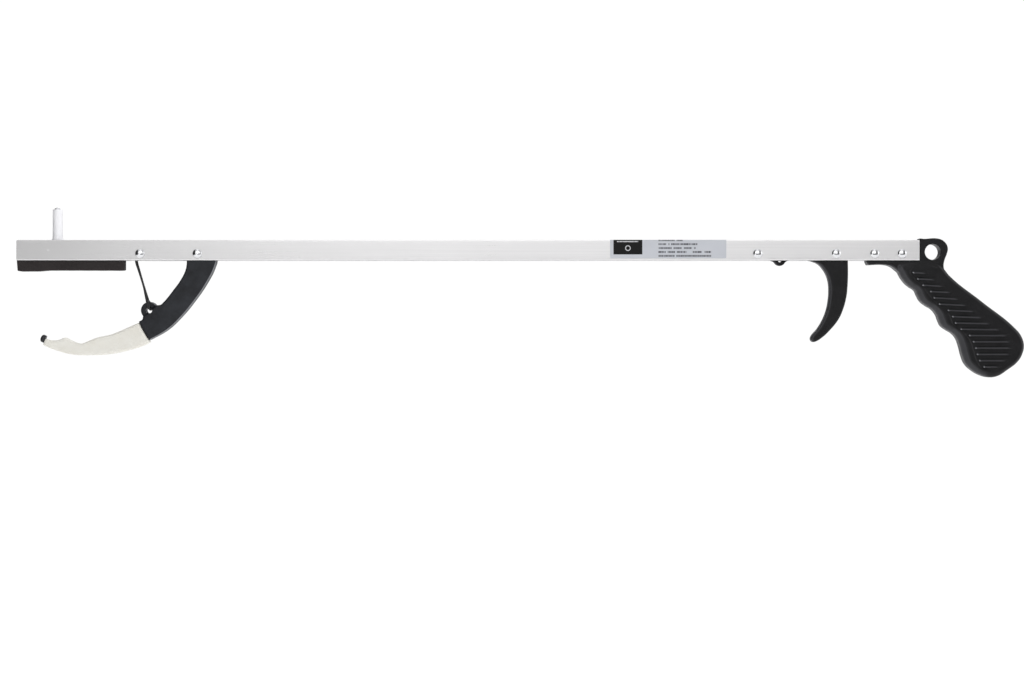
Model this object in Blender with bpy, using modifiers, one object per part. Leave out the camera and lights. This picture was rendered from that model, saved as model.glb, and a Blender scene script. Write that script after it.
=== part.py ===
"""Reacher grabber: a channel beam, a pistol grip, a finger trigger and a jaw pulled by a cord.

Frame: +X runs along the beam towards the grip, +Z is up and Y crosses the beam.
The origin is on the beam's flat top, straight above the trigger's pivot.
Outlines and routes are in millimetres; MM turns them into metres.
"""
import math

import bmesh
import bpy
from mathutils import Matrix, Vector

MM = 0.001
GAP = 0.3           # clearance between pieces that meet, in millimetres

# Beam: an aluminium channel, open side down.
BEAM_FRONT = -661.5
BEAM_REAR = 67.0
BEAM_WIDTH = 14.0
BEAM_HEIGHT = 16.5
BEAM_WALL = 1.2
BEAM_CORNER = 1.0
SCORE_LINES = (-480.0, -200.0, -85.0, 12.0)    # where a hairline ends the long flat faces
SCORE_HALF_WIDTH = 0.4

# Pivots, as (x, z). All the rivets lie on one line below the beam's top.
RIVET_LINE = -11.0
FRONT_GUIDE = (-561.7, RIVET_LINE)
JAW_PIVOT = (-515.5, RIVET_LINE)
REAR_GUIDE = (-63.4, RIVET_LINE)
TRIGGER_PIVOT = (0.0, RIVET_LINE)
GRIP_RIVET_FRONT = (31.0, RIVET_LINE)
GRIP_RIVET_REAR = (53.1, RIVET_LINE)
JAW_EYE = (-554.8, -56.7)
TRIGGER_EYE = (-45.1, -16.3)

# Rivets and rollers.
SHANK_RADIUS = 2.1
HEAD_RADIUS = 3.85
HEAD_HEIGHT = 1.9
BORE_RADIUS = SHANK_RADIUS + GAP
ROLLER_RADIUS = 5.2
ROLLER_HALF_WIDTH = 5.3
GROOVE_RADIUS = 3.8
GROOVE_HALF_WIDTH = 3.1

# Cord: one braided loop, so two strands run side by side.
CORD_RADIUS = 0.7
CORD_WRAP_RADIUS = 4.8
STRAND_OFFSET = 2.2

# Thicknesses across Y.
GRIP_THICKNESS = 20.0
NECK_THICKNESS = 14.0
TANG_THICKNESS = 11.0
TRIGGER_THICKNESS = 10.6
LUG_ARM_THICKNESS = 5.6
JAW_THICKNESS = 10.4
EAR_THICKNESS = 8.0
TONGUE_THICKNESS = 5.6
SLEEVE_THICKNESS = 9.6

# Grip ribs: raised bars, each RIB_PITCH below the last, on both sides.
RIB_COUNT = 16
RIB_PITCH = 5.07
RIB_FIRST = -26.2
RIB_HEIGHT = 2.4
RIB_PROUD = 0.8

CORNER = "corner"    # marks an outline point where the edge turns sharply

GRIP_OUTLINE = [
    (50.0, -27.0), (55.2, -34.3), (59.7, -37.9), (63.8, -40.6), (66.0, -45.1), (68.7, -49.6),
    (73.2, -53.2), (77.7, -55.9), (81.3, -60.3), (83.1, -64.8), (85.3, -69.3), (89.4, -72.5),
    (93.9, -75.2), (97.5, -79.2), (99.7, -84.6), (102.4, -94.5), (104.7, -99.9), (110.1, -105.3),
    (117.2, -109.3), (123.5, -110.9), (130.7, -109.8), (137.9, -105.3), (146.9, -98.1),
    (150.9, -90.9), (151.8, -84.6), (149.6, -77.4), (145.1, -71.6), (118.0, -49.8), (91.5, -28.6),
    (86.5, -23.4), (70.0, -21.5), (54.0, -22.5),
]
NECK_OUTLINE = [
    (24.2, -16.8, CORNER), (25.6, -20.1, CORNER), (40.8, -20.1), (45.3, -21.7), (48.9, -25.3),
    (61.0, -34.0, CORNER), (82.0, -34.0, CORNER), (87.4, -24.8, CORNER), (86.7, -20.8),
    (87.4, -16.3), (89.4, -10.9), (90.1, -6.4), (88.0, -1.9), (83.1, 1.0), (67.3, 1.0, CORNER),
    (67.3, -16.8, CORNER),
]
HANG_HOLE = (77.8, -9.6)
HANG_HOLE_RADIUS = 6.4

TRIGGER_OUTLINE = [
    (9.3, -10.5), (9.8, -16.5), (9.4, -39.7), (8.4, -47.1), (6.1, -55.5), (2.4, -63.8),
    (-5.0, -73.1), (-11.5, -79.1), (-16.1, -81.9), (-18.6, -82.3), (-20.3, -80.1), (-19.4, -77.2),
    (-15.2, -72.2), (-10.6, -64.8), (-7.3, -56.4), (-5.7, -48.1), (-5.2, -40.7), (-5.7, -34.2),
    (-7.3, -28.6), (-10.6, -23.0), (-14.3, -19.3), (-18.9, -17.3), (-22.6, -16.4, CORNER),
    (-22.6, -10.0, CORNER), (-8.6, -7.6), (-6.4, -4.6), (0.0, -1.9), (6.4, -4.6),
]
LUG_ARM_OUTLINE = [
    (-4.0, -6.0, CORNER), (-4.0, -15.0, CORNER), (-24.0, -16.0), (-37.8, -16.1), (-40.6, -17.3),
    (-42.4, -19.5), (-45.1, -20.4), (-47.9, -19.5), (-49.8, -17.3), (-52.6, -15.9),
    (-53.4, -12.6), (-50.4, -9.6), (-30.0, -8.0),
]

JAW_OUTLINE = [
    (-524.6, -11.5), (-524.5, -17.0), (-525.5, -24.0), (-529.8, -32.7), (-536.0, -41.2),
    (-541.6, -48.3), (-545.4, -52.2, CORNER), (-549.6, -52.8, CORNER), (-556.5, -59.5, CORNER),
    (-559.8, -61.8), (-560.2, -64.2, CORNER), (-563.4, -65.9, CORNER), (-554.7, -80.9, CORNER),
    (-540.2, -72.6), (-530.0, -63.2),
    (-517.6, -48.3), (-508.2, -34.4), (-502.0, -22.0), (-500.6, -15.5), (-505.0, -8.6),
    (-509.2, -4.6), (-515.5, -1.9), (-521.9, -4.6),
]
EAR_RADIUS = 6.2
EAR_HOLE_RADIUS = 2.3
LUG_HOLE_RADIUS = 2.2
TONGUE_OUTLINE = [
    (-550.0, -66.0, CORNER), (-562.0, -70.5), (-575.0, -76.4), (-590.0, -81.0), (-604.0, -84.8),
    (-612.0, -86.2), (-624.0, -83.6), (-632.0, -82.9), (-639.5, -81.2, CORNER),
    (-640.5, -83.5, CORNER), (-632.0, -86.3), (-622.0, -88.6), (-605.0, -90.0), (-590.0, -89.2),
    (-573.0, -85.8), (-560.0, -81.0), (-548.0, -73.0, CORNER),
]
SLEEVE_OUTLINE = [
    (-563.3, -66.6, CORNER), (-554.1, -82.5, CORNER), (-561.0, -85.7), (-572.9, -89.4),
    (-587.7, -92.4), (-601.9, -93.1), (-617.3, -92.5), (-629.1, -89.5), (-635.1, -87.4),
    (-641.0, -84.6, CORNER), (-638.9, -79.6, CORNER), (-635.1, -80.8), (-630.9, -80.9),
    (-626.8, -80.2), (-623.2, -78.6), (-619.9, -80.3), (-613.7, -82.9), (-610.2, -83.5),
    (-604.3, -81.5), (-596.6, -78.6), (-590.6, -77.3), (-584.7, -75.8), (-578.8, -73.5),
    (-572.9, -70.9),
]
MAGNET_CENTRE = (-640.2, -79.9)
MAGNET_TILT = 23.0          # the face points this many degrees above straight forward
MAGNET_RADIUS = 3.2
MAGNET_BACK = -0.8
MAGNET_FRONT = 3.2

# Fixed pad, peg and label.
PAD_FRONT = -661.3
PAD_REAR = -573.5
PAD_TOP = -7.0
PAD_BOTTOM = -24.8
PAD_HALF_WIDTH = 5.4
PEG_X = -630.2
PEG_PIN_RADIUS = 3.1
PEG_PIN_TOP = 26.5
PEG_SHANK_RADIUS = 2.4
PEG_SLEEVE_TOP = 24.9
PEG_SLEEVE_RADIUS = 4.0
PEG_FLARE_RADIUS = 5.0
PEG_FLARE_HEIGHT = 3.5
LABEL_FRONT = -182.6
LABEL_REAR = -88.9
LABEL_BOTTOM = -14.8
LABEL_THICKNESS = 0.2
LABEL_LIFT = 0.15
LABEL_TOP_REACH = 4.0

# Return spring: a torsion spring round the jaw's rivet.
SPRING_WIRE_RADIUS = 0.4
SPRING_COIL_RADIUS = 3.0
SPRING_PITCH = 0.85
SPRING_TURNS = 2
SLOT_HALF_WIDTH = 3.4
SLOT_FLOOR = -16.0
SLOT_REACH = 18.0

COLOURS = {
    "aluminium": ((0.66, 0.66, 0.67), 0.34, 1.0),
    "bright_steel": ((0.72, 0.72, 0.74), 0.16, 1.0),
    "black_plastic": ((0.012, 0.012, 0.014), 0.42, 0.0),
    "cream_rubber": ((0.76, 0.74, 0.66), 0.60, 0.0),
    "dark_rubber": ((0.028, 0.024, 0.024), 0.80, 0.0),
    "magnet_black": ((0.014, 0.014, 0.018), 0.35, 0.0),
    "white_vinyl": ((0.86, 0.86, 0.85), 0.35, 0.0),
    "nylon": ((0.78, 0.78, 0.74), 0.45, 0.0),
    "black_cord": ((0.016, 0.016, 0.016), 0.85, 0.0),
    "label_film": ((0.60, 0.64, 0.69), 0.45, 0.0),
}


def clear_scene():
    for obj in list(bpy.data.objects):
        bpy.data.objects.remove(obj, do_unlink=True)


def new_collection(name):
    collection = bpy.data.collections.new(name)
    bpy.context.scene.collection.children.link(collection)
    return collection


def make_material(name):
    colour, roughness, metallic = COLOURS[name]
    material = bpy.data.materials.new(name)
    material.use_nodes = True
    shader = material.node_tree.nodes["Principled BSDF"]
    shader.inputs["Base Color"].default_value = (*colour, 1.0)
    shader.inputs["Roughness"].default_value = roughness
    shader.inputs["Metallic"].default_value = metallic
    return material


clear_scene()
PARTS = new_collection("reacher_grabber")
CUTTERS = new_collection("cutters")
MATERIALS = {name: make_material(name) for name in COLOURS}


# Building blocks. Each one returns a mesh object whose mesh is in world coordinates.

def add_mesh_object(name, mesh):
    obj = bpy.data.objects.new(name, mesh)
    PARTS.objects.link(obj)
    return obj


def mesh_from_curve(name, curve, matrix):
    """The closed mesh of a curve, with its loose caps welded on."""
    guide = bpy.data.objects.new(name + "_guide", curve)
    PARTS.objects.link(guide)
    bpy.context.view_layer.update()
    evaluated = guide.evaluated_get(bpy.context.evaluated_depsgraph_get())
    mesh = bpy.data.meshes.new_from_object(evaluated)
    bpy.data.objects.remove(guide, do_unlink=True)
    mesh.name = name
    mesh.transform(matrix)
    work = bmesh.new()
    work.from_mesh(mesh)
    bmesh.ops.remove_doubles(work, verts=work.verts, dist=0.00001)
    bmesh.ops.recalc_face_normals(work, faces=work.faces)
    work.to_mesh(mesh)
    work.free()
    return add_mesh_object(name, mesh)


def plate(name, outline, thickness, rounding=0.0, grow=0.0, resolution=3):
    """A flat outline in the XZ plane with a thickness across Y and rounded edges."""
    curve = bpy.data.curves.new(name, "CURVE")
    curve.dimensions = "2D"
    curve.fill_mode = "BOTH"
    curve.resolution_u = resolution
    curve.extrude = (thickness / 2 - rounding) * MM
    curve.bevel_depth = rounding * MM
    curve.bevel_resolution = 1
    curve.offset = (grow - rounding) * MM
    spline = curve.splines.new("BEZIER")
    spline.bezier_points.add(len(outline) - 1)
    for knot, point in zip(spline.bezier_points, outline):
        knot.co = (point[0] * MM, point[1] * MM, 0.0)
        handle = "VECTOR" if CORNER in point else "AUTO"
        knot.handle_left_type = handle
        knot.handle_right_type = handle
    spline.use_cyclic_u = True
    return mesh_from_curve(name, curve, Matrix.Rotation(math.pi / 2, 4, "X"))


def tube(name, points, radius):
    """A round wire or strand through points, in millimetres."""
    curve = bpy.data.curves.new(name, "CURVE")
    curve.dimensions = "3D"
    curve.bevel_depth = radius * MM
    curve.bevel_resolution = 2
    curve.use_fill_caps = True
    spline = curve.splines.new("POLY")
    spline.points.add(len(points) - 1)
    for knot, point in zip(spline.points, points):
        knot.co = (point[0] * MM, point[1] * MM, point[2] * MM, 1.0)
    return mesh_from_curve(name, curve, Matrix.Identity(4))


def box(name, low, high):
    """A box between two corners, in millimetres."""
    size = [b - a for a, b in zip(low, high)]
    centre = [(a + b) / 2 for a, b in zip(low, high)]
    mesh = bpy.data.meshes.new(name)
    work = bmesh.new()
    bmesh.ops.create_cube(work, size=1.0)
    bmesh.ops.scale(work, vec=Vector(size) * MM, verts=work.verts)
    bmesh.ops.translate(work, vec=Vector(centre) * MM, verts=work.verts)
    work.to_mesh(mesh)
    work.free()
    return add_mesh_object(name, mesh)


def cross_cylinder(name, centre, radius, length, sides=20):
    """A cylinder along Y, centred on a point (x, z)."""
    mesh = bpy.data.meshes.new(name)
    work = bmesh.new()
    matrix = Matrix.Translation(Vector((centre[0], 0.0, centre[1])) * MM)
    matrix = matrix @ Matrix.Rotation(math.pi / 2, 4, "X")
    bmesh.ops.create_cone(work, cap_ends=True, segments=sides, radius1=radius * MM,
                          radius2=radius * MM, depth=length * MM, matrix=matrix)
    work.to_mesh(mesh)
    work.free()
    return add_mesh_object(name, mesh)


def turned(name, profile, matrix, closed=False, steps=20):
    """A profile of (radius, height) turned round Z and then placed by a matrix.

    The profile runs down its outer side, top to bottom."""
    mesh = bpy.data.meshes.new(name)
    points = [(radius * MM, 0.0, height * MM) for radius, height in profile]
    edges = [(k, k + 1) for k in range(len(points) - 1)]
    if closed:
        edges.append((len(points) - 1, 0))
    mesh.from_pydata(points, edges, [])
    obj = add_mesh_object(name, mesh)
    screw = obj.modifiers.new("Turn", "SCREW")
    screw.angle = math.tau
    screw.steps = steps
    screw.render_steps = steps
    screw.use_merge_vertices = True
    screw.merge_threshold = 0.00001
    obj.matrix_world = matrix
    return obj


def hide_as_tool(obj):
    """Keep an object as a Boolean operand only."""
    PARTS.objects.unlink(obj)
    CUTTERS.objects.link(obj)
    obj.hide_render = True
    obj.display_type = "WIRE"


def combine(target, operand, operation):
    modifier = target.modifiers.new(operand.name, "BOOLEAN")
    modifier.operation = operation
    modifier.object = operand
    modifier.solver = "EXACT"
    hide_as_tool(operand)


def drill(target, centre, radius, sides=20):
    """A round hole through target, along Y."""
    name = f"{target.name}_hole_{len(target.modifiers)}"
    combine(target, cross_cylinder(name, centre, radius, 2 * GRIP_THICKNESS, sides), "DIFFERENCE")


def finish(obj, material, pivot=None):
    """Give a part its material, smooth round faces, and its origin at a point (x, z)."""
    obj.data.materials.clear()
    obj.data.materials.append(MATERIALS[material])
    if pivot:
        offset = Vector((pivot[0], 0.0, pivot[1])) * MM
        obj.data.transform(Matrix.Translation(-offset))
        obj.location = offset
    obj.data.shade_smooth()
    obj.data.set_sharp_from_angle(angle=math.radians(35))
    return obj


def mount_on(child, parent):
    """Parent a part without moving it."""
    bpy.context.view_layer.update()
    child.parent = parent
    child.matrix_parent_inverse = parent.matrix_world.inverted()


def across(centre, y=0.0):
    """Places a turned part's axis along -Y, so its top faces the front, at (x, z)."""
    place = Matrix.Translation(Vector((centre[0], y, centre[1])) * MM)
    return place @ Matrix.Rotation(math.pi / 2, 4, "X")


# The beam and what is fixed to it.

def build_beam():
    half = BEAM_WIDTH / 2
    beam = box("beam_channel", (BEAM_FRONT, -half, -BEAM_HEIGHT), (BEAM_REAR, half, 0.0))
    work = bmesh.new()
    work.from_mesh(beam.data)
    top_edges = [e for e in work.edges if all(abs(v.co.z) < 0.1 * MM for v in e.verts)
                 and abs(e.verts[0].co.y - e.verts[1].co.y) < 0.1 * MM]
    bmesh.ops.bevel(work, geom=top_edges, offset=BEAM_CORNER * MM, segments=3, profile=0.5,
                    affect="EDGES")
    work.to_mesh(beam.data)
    work.free()
    inner = half - BEAM_WALL
    hollow = box("beam_hollow", (BEAM_FRONT - 5, -inner, -BEAM_HEIGHT - 5),
                 (BEAM_REAR + 5, inner, -BEAM_WALL))
    combine(beam, hollow, "DIFFERENCE")
    for centre in RIVETS.values():
        drill(beam, centre, BORE_RADIUS, sides=16)
    peg_hole = turned("peg_hole", [(0, 5), (PEG_SHANK_RADIUS + GAP, 5),
                                   (PEG_SHANK_RADIUS + GAP, -5), (0, -5)],
                      Matrix.Translation((PEG_X * MM, 0, 0)), steps=16)
    combine(beam, peg_hole, "DIFFERENCE")
    for x in SCORE_LINES:
        score_across(beam, x)
    return finish(beam, "aluminium")


def score_across(beam, x):
    """A hairline about 0.02 mm deep round the beam, so that the flats beside it are faces of their own."""
    work = bmesh.new()
    work.from_mesh(beam.data)
    for step in (-SCORE_HALF_WIDTH, SCORE_HALF_WIDTH, 0.0):
        cut = bmesh.ops.bisect_plane(work, geom=work.verts[:] + work.edges[:] + work.faces[:],
                                     dist=1e-6, plane_co=((x + step) * MM, 0, 0),
                                     plane_no=(1, 0, 0))
    middle = Vector((x, 0.0, -BEAM_HEIGHT / 2)) * MM
    for part in cut["geom_cut"]:
        if isinstance(part, bmesh.types.BMVert):
            part.co = middle + (part.co - middle) * 0.9975
    work.to_mesh(beam.data)
    work.free()


RIVETS = {
    "rivet_front_guide": FRONT_GUIDE,
    "rivet_jaw_pivot": JAW_PIVOT,
    "rivet_rear_guide": REAR_GUIDE,
    "rivet_trigger_pivot": TRIGGER_PIVOT,
    "rivet_handle_front": GRIP_RIVET_FRONT,
    "rivet_handle_rear": GRIP_RIVET_REAR,
}


def build_rivet(name, centre):
    """A domed head on the near side, a shank, and a clinched head on the far side."""
    seat = BEAM_WIDTH / 2 + GAP
    dome = [(HEAD_RADIUS * math.sin(a), seat + 0.4 + (HEAD_HEIGHT - 0.4) * math.cos(a))
            for a in (math.radians(22.5 * k) for k in range(5))]
    profile = dome + [(HEAD_RADIUS, seat), (SHANK_RADIUS, seat), (SHANK_RADIUS, -seat),
                      (HEAD_RADIUS - 0.6, -seat), (HEAD_RADIUS - 0.9, -seat - 0.9),
                      (1.6, -seat - 1.3), (0.0, -seat - 1.3)]
    return finish(turned(name, profile, across(centre)), "bright_steel")


def build_roller(name, centre):
    """A flanged roller with one wide groove for both strands."""
    lip = GROOVE_HALF_WIDTH + 0.5
    profile = [(BORE_RADIUS, ROLLER_HALF_WIDTH), (ROLLER_RADIUS, ROLLER_HALF_WIDTH),
               (ROLLER_RADIUS, lip), (GROOVE_RADIUS, GROOVE_HALF_WIDTH),
               (GROOVE_RADIUS, -GROOVE_HALF_WIDTH), (ROLLER_RADIUS, -lip),
               (ROLLER_RADIUS, -ROLLER_HALF_WIDTH), (BORE_RADIUS, -ROLLER_HALF_WIDTH)]
    return finish(turned(name, profile, across(centre), closed=True), "nylon")


def build_pad():
    pad = box("fixed_jaw_pad", (PAD_FRONT, -PAD_HALF_WIDTH, PAD_BOTTOM),
              (PAD_REAR, PAD_HALF_WIDTH, PAD_TOP))
    bevel = pad.modifiers.new("Edges", "BEVEL")
    bevel.width = 0.6 * MM
    bevel.segments = 2
    return finish(pad, "dark_rubber")


def build_peg():
    """The pin is clinched under the beam's top, and its vinyl sleeve stands on the beam."""
    place = Matrix.Translation((PEG_X * MM, 0, 0))
    under = -BEAM_WALL - GAP
    pin_profile = [(0.0, PEG_PIN_TOP), (1.6, PEG_PIN_TOP - 0.4), (2.6, PEG_PIN_TOP - 1.2),
                   (PEG_PIN_RADIUS, PEG_PIN_TOP - 2.4), (PEG_PIN_RADIUS, GAP),
                   (PEG_SHANK_RADIUS, GAP), (PEG_SHANK_RADIUS, under), (3.6, under),
                   (3.4, under - 1.0), (2.4, under - 1.4), (0.0, under - 1.4)]
    pin = finish(turned("hook_peg_pin", pin_profile, place), "bright_steel")
    bore = PEG_PIN_RADIUS + GAP
    sleeve_profile = [(bore, PEG_SLEEVE_TOP), (PEG_SLEEVE_RADIUS, PEG_SLEEVE_TOP),
                      (PEG_SLEEVE_RADIUS, PEG_FLARE_HEIGHT), (4.35, 1.6),
                      (PEG_FLARE_RADIUS, 0.6), (PEG_FLARE_RADIUS, GAP), (bore, GAP)]
    sleeve = finish(turned("hook_peg_sleeve", sleeve_profile, place, closed=True), "white_vinyl")
    mount_on(sleeve, pin)


def beam_corner(lift):
    """Points (y, z) round the beam's near top corner, a little off its surface."""
    radius = BEAM_CORNER + lift
    angles = [math.radians(180.0 - 22.5 * k) for k in range(5)]
    return [(-BEAM_WIDTH / 2 + BEAM_CORNER + radius * math.cos(a),
             -BEAM_CORNER + radius * math.sin(a)) for a in angles]


def build_label():
    """A thin sticker down the near side and over the top edge."""
    lift = LABEL_LIFT
    skin = LABEL_LIFT + LABEL_THICKNESS
    side = BEAM_WIDTH / 2
    section = [(-side - skin, LABEL_BOTTOM)] + beam_corner(skin)
    section += [(LABEL_TOP_REACH, skin), (LABEL_TOP_REACH, lift)]
    section += list(reversed(beam_corner(lift))) + [(-side - lift, LABEL_BOTTOM)]
    outline = [(y, z, CORNER) for y, z in section]
    label = plate("info_label", outline, LABEL_REAR - LABEL_FRONT)
    turn = Matrix.Rotation(math.pi / 2, 4, "Z")
    slide = Matrix.Translation(Vector(((LABEL_FRONT + LABEL_REAR) / 2, 0, 0)) * MM)
    label.data.transform(slide @ turn)
    return finish(label, "label_film")


def rib_span(level):
    """The x range of the rib at a height, set in from the grip's front and back edges."""
    polygon = [(point[0], point[1]) for point in GRIP_OUTLINE]
    crossings = []
    for (x0, z0), (x1, z1) in zip(polygon, polygon[1:] + polygon[:1]):
        if (z0 - level) * (z1 - level) < 0:
            crossings.append(x0 + (x1 - x0) * (level - z0) / (z1 - z0))
    return min(crossings) + 10.5, max(crossings) - 9.0


def build_grip():
    grip = plate("grip_handle", GRIP_OUTLINE, GRIP_THICKNESS - 2 * RIB_PROUD, rounding=4.5)
    combine(grip, plate("grip_neck", NECK_OUTLINE, NECK_THICKNESS, rounding=1.0), "UNION")
    half_tang = TANG_THICKNESS / 2
    tang = box("grip_tang", (24.6, -half_tang, -17.5), (70.0, half_tang, -BEAM_WALL - GAP))
    combine(grip, tang, "UNION")
    for k in range(RIB_COUNT):
        level = RIB_FIRST - k * RIB_PITCH
        start, end = rib_span(level)
        half = GRIP_THICKNESS / 2
        rib = box(f"grip_rib_{k:02d}", (start, -half, level - RIB_HEIGHT / 2),
                  (end, half, level + RIB_HEIGHT / 2))
        combine(grip, rib, "UNION")
    drill(grip, HANG_HOLE, HANG_HOLE_RADIUS, sides=32)
    drill(grip, GRIP_RIVET_FRONT, BORE_RADIUS)
    drill(grip, GRIP_RIVET_REAR, BORE_RADIUS)
    return finish(grip, "black_plastic")


# The moving parts.

def build_trigger():
    trigger = plate("trigger", TRIGGER_OUTLINE, TRIGGER_THICKNESS, rounding=1.4)
    lug_arm = plate("trigger_lug_arm", LUG_ARM_OUTLINE, LUG_ARM_THICKNESS, rounding=0.6)
    combine(trigger, lug_arm, "UNION")
    drill(trigger, TRIGGER_PIVOT, BORE_RADIUS)
    drill(trigger, TRIGGER_EYE, LUG_HOLE_RADIUS)
    return finish(trigger, "black_plastic", TRIGGER_PIVOT)


def build_jaw():
    """The arm forks round its rivet, so that the cord and the spring pass between the cheeks."""
    arm = plate("jaw_arm", JAW_OUTLINE, JAW_THICKNESS, rounding=1.0)
    combine(arm, cross_cylinder("jaw_ear", JAW_EYE, EAR_RADIUS, EAR_THICKNESS, 32), "UNION")
    combine(arm, plate("jaw_tongue", TONGUE_OUTLINE, TONGUE_THICKNESS), "UNION")
    x, _ = JAW_PIVOT
    slot = box("jaw_slot", (x - SLOT_REACH, -SLOT_HALF_WIDTH, SLOT_FLOOR),
               (x + SLOT_REACH, SLOT_HALF_WIDTH, 5.0))
    combine(arm, slot, "DIFFERENCE")
    drill(arm, JAW_PIVOT, BORE_RADIUS)
    drill(arm, JAW_EYE, EAR_HOLE_RADIUS)
    return finish(arm, "black_plastic", JAW_PIVOT)


def build_jaw_sleeve():
    """A soft sleeve that slips over the jaw's tongue and is open at both ends."""
    sleeve = plate("jaw_sleeve", SLEEVE_OUTLINE, SLEEVE_THICKNESS, rounding=1.0)
    overrun = TONGUE_OUTLINE[:8] + [(-642.5, -80.3, CORNER), (-643.5, -82.4, CORNER)]
    pocket = plate("jaw_sleeve_pocket", overrun + TONGUE_OUTLINE[10:],
                   TONGUE_THICKNESS + 2 * GAP, grow=GAP)
    combine(sleeve, pocket, "DIFFERENCE")
    return finish(sleeve, "cream_rubber", JAW_PIVOT)


def build_magnet():
    """A disc on the jaw's tip with a domed face."""
    dome = [(0.0, MAGNET_FRONT), (1.5, MAGNET_FRONT - 0.3), (2.5, MAGNET_FRONT - 0.9),
            (MAGNET_RADIUS, MAGNET_FRONT - 2.0)]
    profile = dome + [(MAGNET_RADIUS, MAGNET_BACK), (0.0, MAGNET_BACK)]
    place = Matrix.Translation(Vector((MAGNET_CENTRE[0], 0.0, MAGNET_CENTRE[1])) * MM)
    aim = Matrix.Rotation(math.radians(MAGNET_TILT - 90.0), 4, "Y")
    return finish(turned("jaw_magnet", profile, place @ aim), "magnet_black")


def build_spring():
    """A torsion spring: one leg rests on the beam's roof, the other on the jaw's slot floor."""
    x, z = JAW_PIVOT
    points_a_turn = 12
    width = SPRING_TURNS * SPRING_PITCH
    start = math.radians(100.0)
    sweep = math.radians(360.0 * SPRING_TURNS + 50.0)
    steps = int(points_a_turn * sweep / math.tau)
    coil = []
    for k in range(steps + 1):
        angle = start - sweep * k / steps
        y = -width / 2 + width * k / steps
        coil.append((x + SPRING_COIL_RADIUS * math.cos(angle), y,
                     z + SPRING_COIL_RADIUS * math.sin(angle)))
    roof_leg = [(x - 13.0, -width / 2, -BEAM_WALL - SPRING_WIRE_RADIUS - GAP),
                (x - 10.0, -width / 2, -3.2)]
    floor_leg = [(x + 11.0, width / 2, SLOT_FLOOR + SPRING_WIRE_RADIUS + GAP)]
    return finish(tube("jaw_return_spring", roof_leg + coil + floor_leg, SPRING_WIRE_RADIUS),
                  "bright_steel")


# The cord. Each fall is measured along a straight line from its roller to the eye it pulls.

class Fall:
    """Where a strand leaves a roller, and the straight line from there to an eye."""

    def __init__(self, roller, eye, side):
        dx = eye[0] - roller[0]
        dz = eye[1] - roller[1]
        distance = math.hypot(dx, dz)
        heading = math.atan2(dz, dx) + side * math.asin(CORD_WRAP_RADIUS / distance)
        self.roller = roller
        self.side = side
        self.direction = (math.cos(heading), math.sin(heading))
        self.leave_angle = heading - side * math.pi / 2
        self.length = math.sqrt(distance ** 2 - CORD_WRAP_RADIUS ** 2)

    def on_roller(self, angle):
        return (self.roller[0] + CORD_WRAP_RADIUS * math.cos(angle),
                self.roller[1] + CORD_WRAP_RADIUS * math.sin(angle))

    def at(self, distance, y):
        """The point at a distance along the fall and an offset across the beam."""
        x, z = self.on_roller(self.leave_angle)
        return (x + distance * self.direction[0], y, z + distance * self.direction[1])


FRONT_FALL = Fall(FRONT_GUIDE, JAW_EYE, 1)
REAR_FALL = Fall(REAR_GUIDE, TRIGGER_EYE, -1)

# Offsets across the beam along each fall, as (distance from the roller, offset).
FRONT_SPREAD = [(0.15, 2.2), (12.0, 1.3), (23.0, 0.95), (30.0, 1.9), (36.0, 3.7)]
REAR_SPREAD = [(0.15, 2.2), (4.0, 2.95), (7.6, 3.7), (11.0, 3.7)]


def build_fall(name, fall, spread, sign):
    points = [fall.at(distance, sign * offset) for distance, offset in spread]
    return finish(tube(name, points, CORD_RADIUS), "black_cord")


def build_eye_loop(name, fall, spread, hole_radius, half_thickness):
    """The end of the cord: down one side of the eye, through its hole and up the other side."""
    bend = CORD_RADIUS + 0.2
    edge = fall.length - hole_radius
    last_distance, last_offset = spread[-1]
    side = half_thickness + bend
    half = [(last_distance + GAP, last_offset), (edge - 4.2, side), (edge, side)]
    for k in range(1, 4):
        angle = math.radians(30.0 * k)
        half.append((edge + bend * math.sin(angle), half_thickness + bend * math.cos(angle)))
    route = half + [(distance, -offset) for distance, offset in reversed(half)]
    points = [fall.at(distance, offset) for distance, offset in route]
    return finish(tube(name, points, CORD_RADIUS), "black_cord")


def build_run(name, sign):
    """One strand over the front roller, along the beam and over the rear roller."""
    top = math.pi / 2
    steps = 8
    front = []
    leave = FRONT_FALL.leave_angle % math.tau - 0.5 * GAP / CORD_WRAP_RADIUS
    for k in range(steps + 1):
        front.append(FRONT_FALL.on_roller(leave + (top - leave) * k / steps))
    rear = []
    leave = REAR_FALL.leave_angle + 0.5 * GAP / CORD_WRAP_RADIUS
    for k in range(5):
        rear.append(REAR_FALL.on_roller(top + (leave - top) * k / 4))
    points = [(x, sign * STRAND_OFFSET, z) for x, z in front + rear]
    return finish(tube(name, points, CORD_RADIUS), "black_cord")


def build_cord():
    for side, sign in (("near", -1), ("far", 1)):
        build_run(f"cord_run_{side}", sign)
        build_fall(f"cord_front_fall_{side}", FRONT_FALL, FRONT_SPREAD, sign)
        build_fall(f"cord_rear_fall_{side}", REAR_FALL, REAR_SPREAD, sign)
    build_eye_loop("cord_front_loop", FRONT_FALL, FRONT_SPREAD, EAR_HOLE_RADIUS,
                   EAR_THICKNESS / 2)
    build_eye_loop("cord_rear_loop", REAR_FALL, REAR_SPREAD, LUG_HOLE_RADIUS,
                   LUG_ARM_THICKNESS / 2)


def build_all():
    build_beam()
    for name, centre in RIVETS.items():
        build_rivet(name, centre)
    build_roller("front_guide_roller", FRONT_GUIDE)
    build_roller("rear_guide_roller", REAR_GUIDE)
    build_pad()
    build_peg()
    build_label()
    build_grip()
    build_trigger()
    arm = build_jaw()
    sleeve = build_jaw_sleeve()
    magnet = build_magnet()
    mount_on(sleeve, arm)
    mount_on(magnet, arm)
    build_spring()
    build_cord()


build_all()
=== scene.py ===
import math

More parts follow.
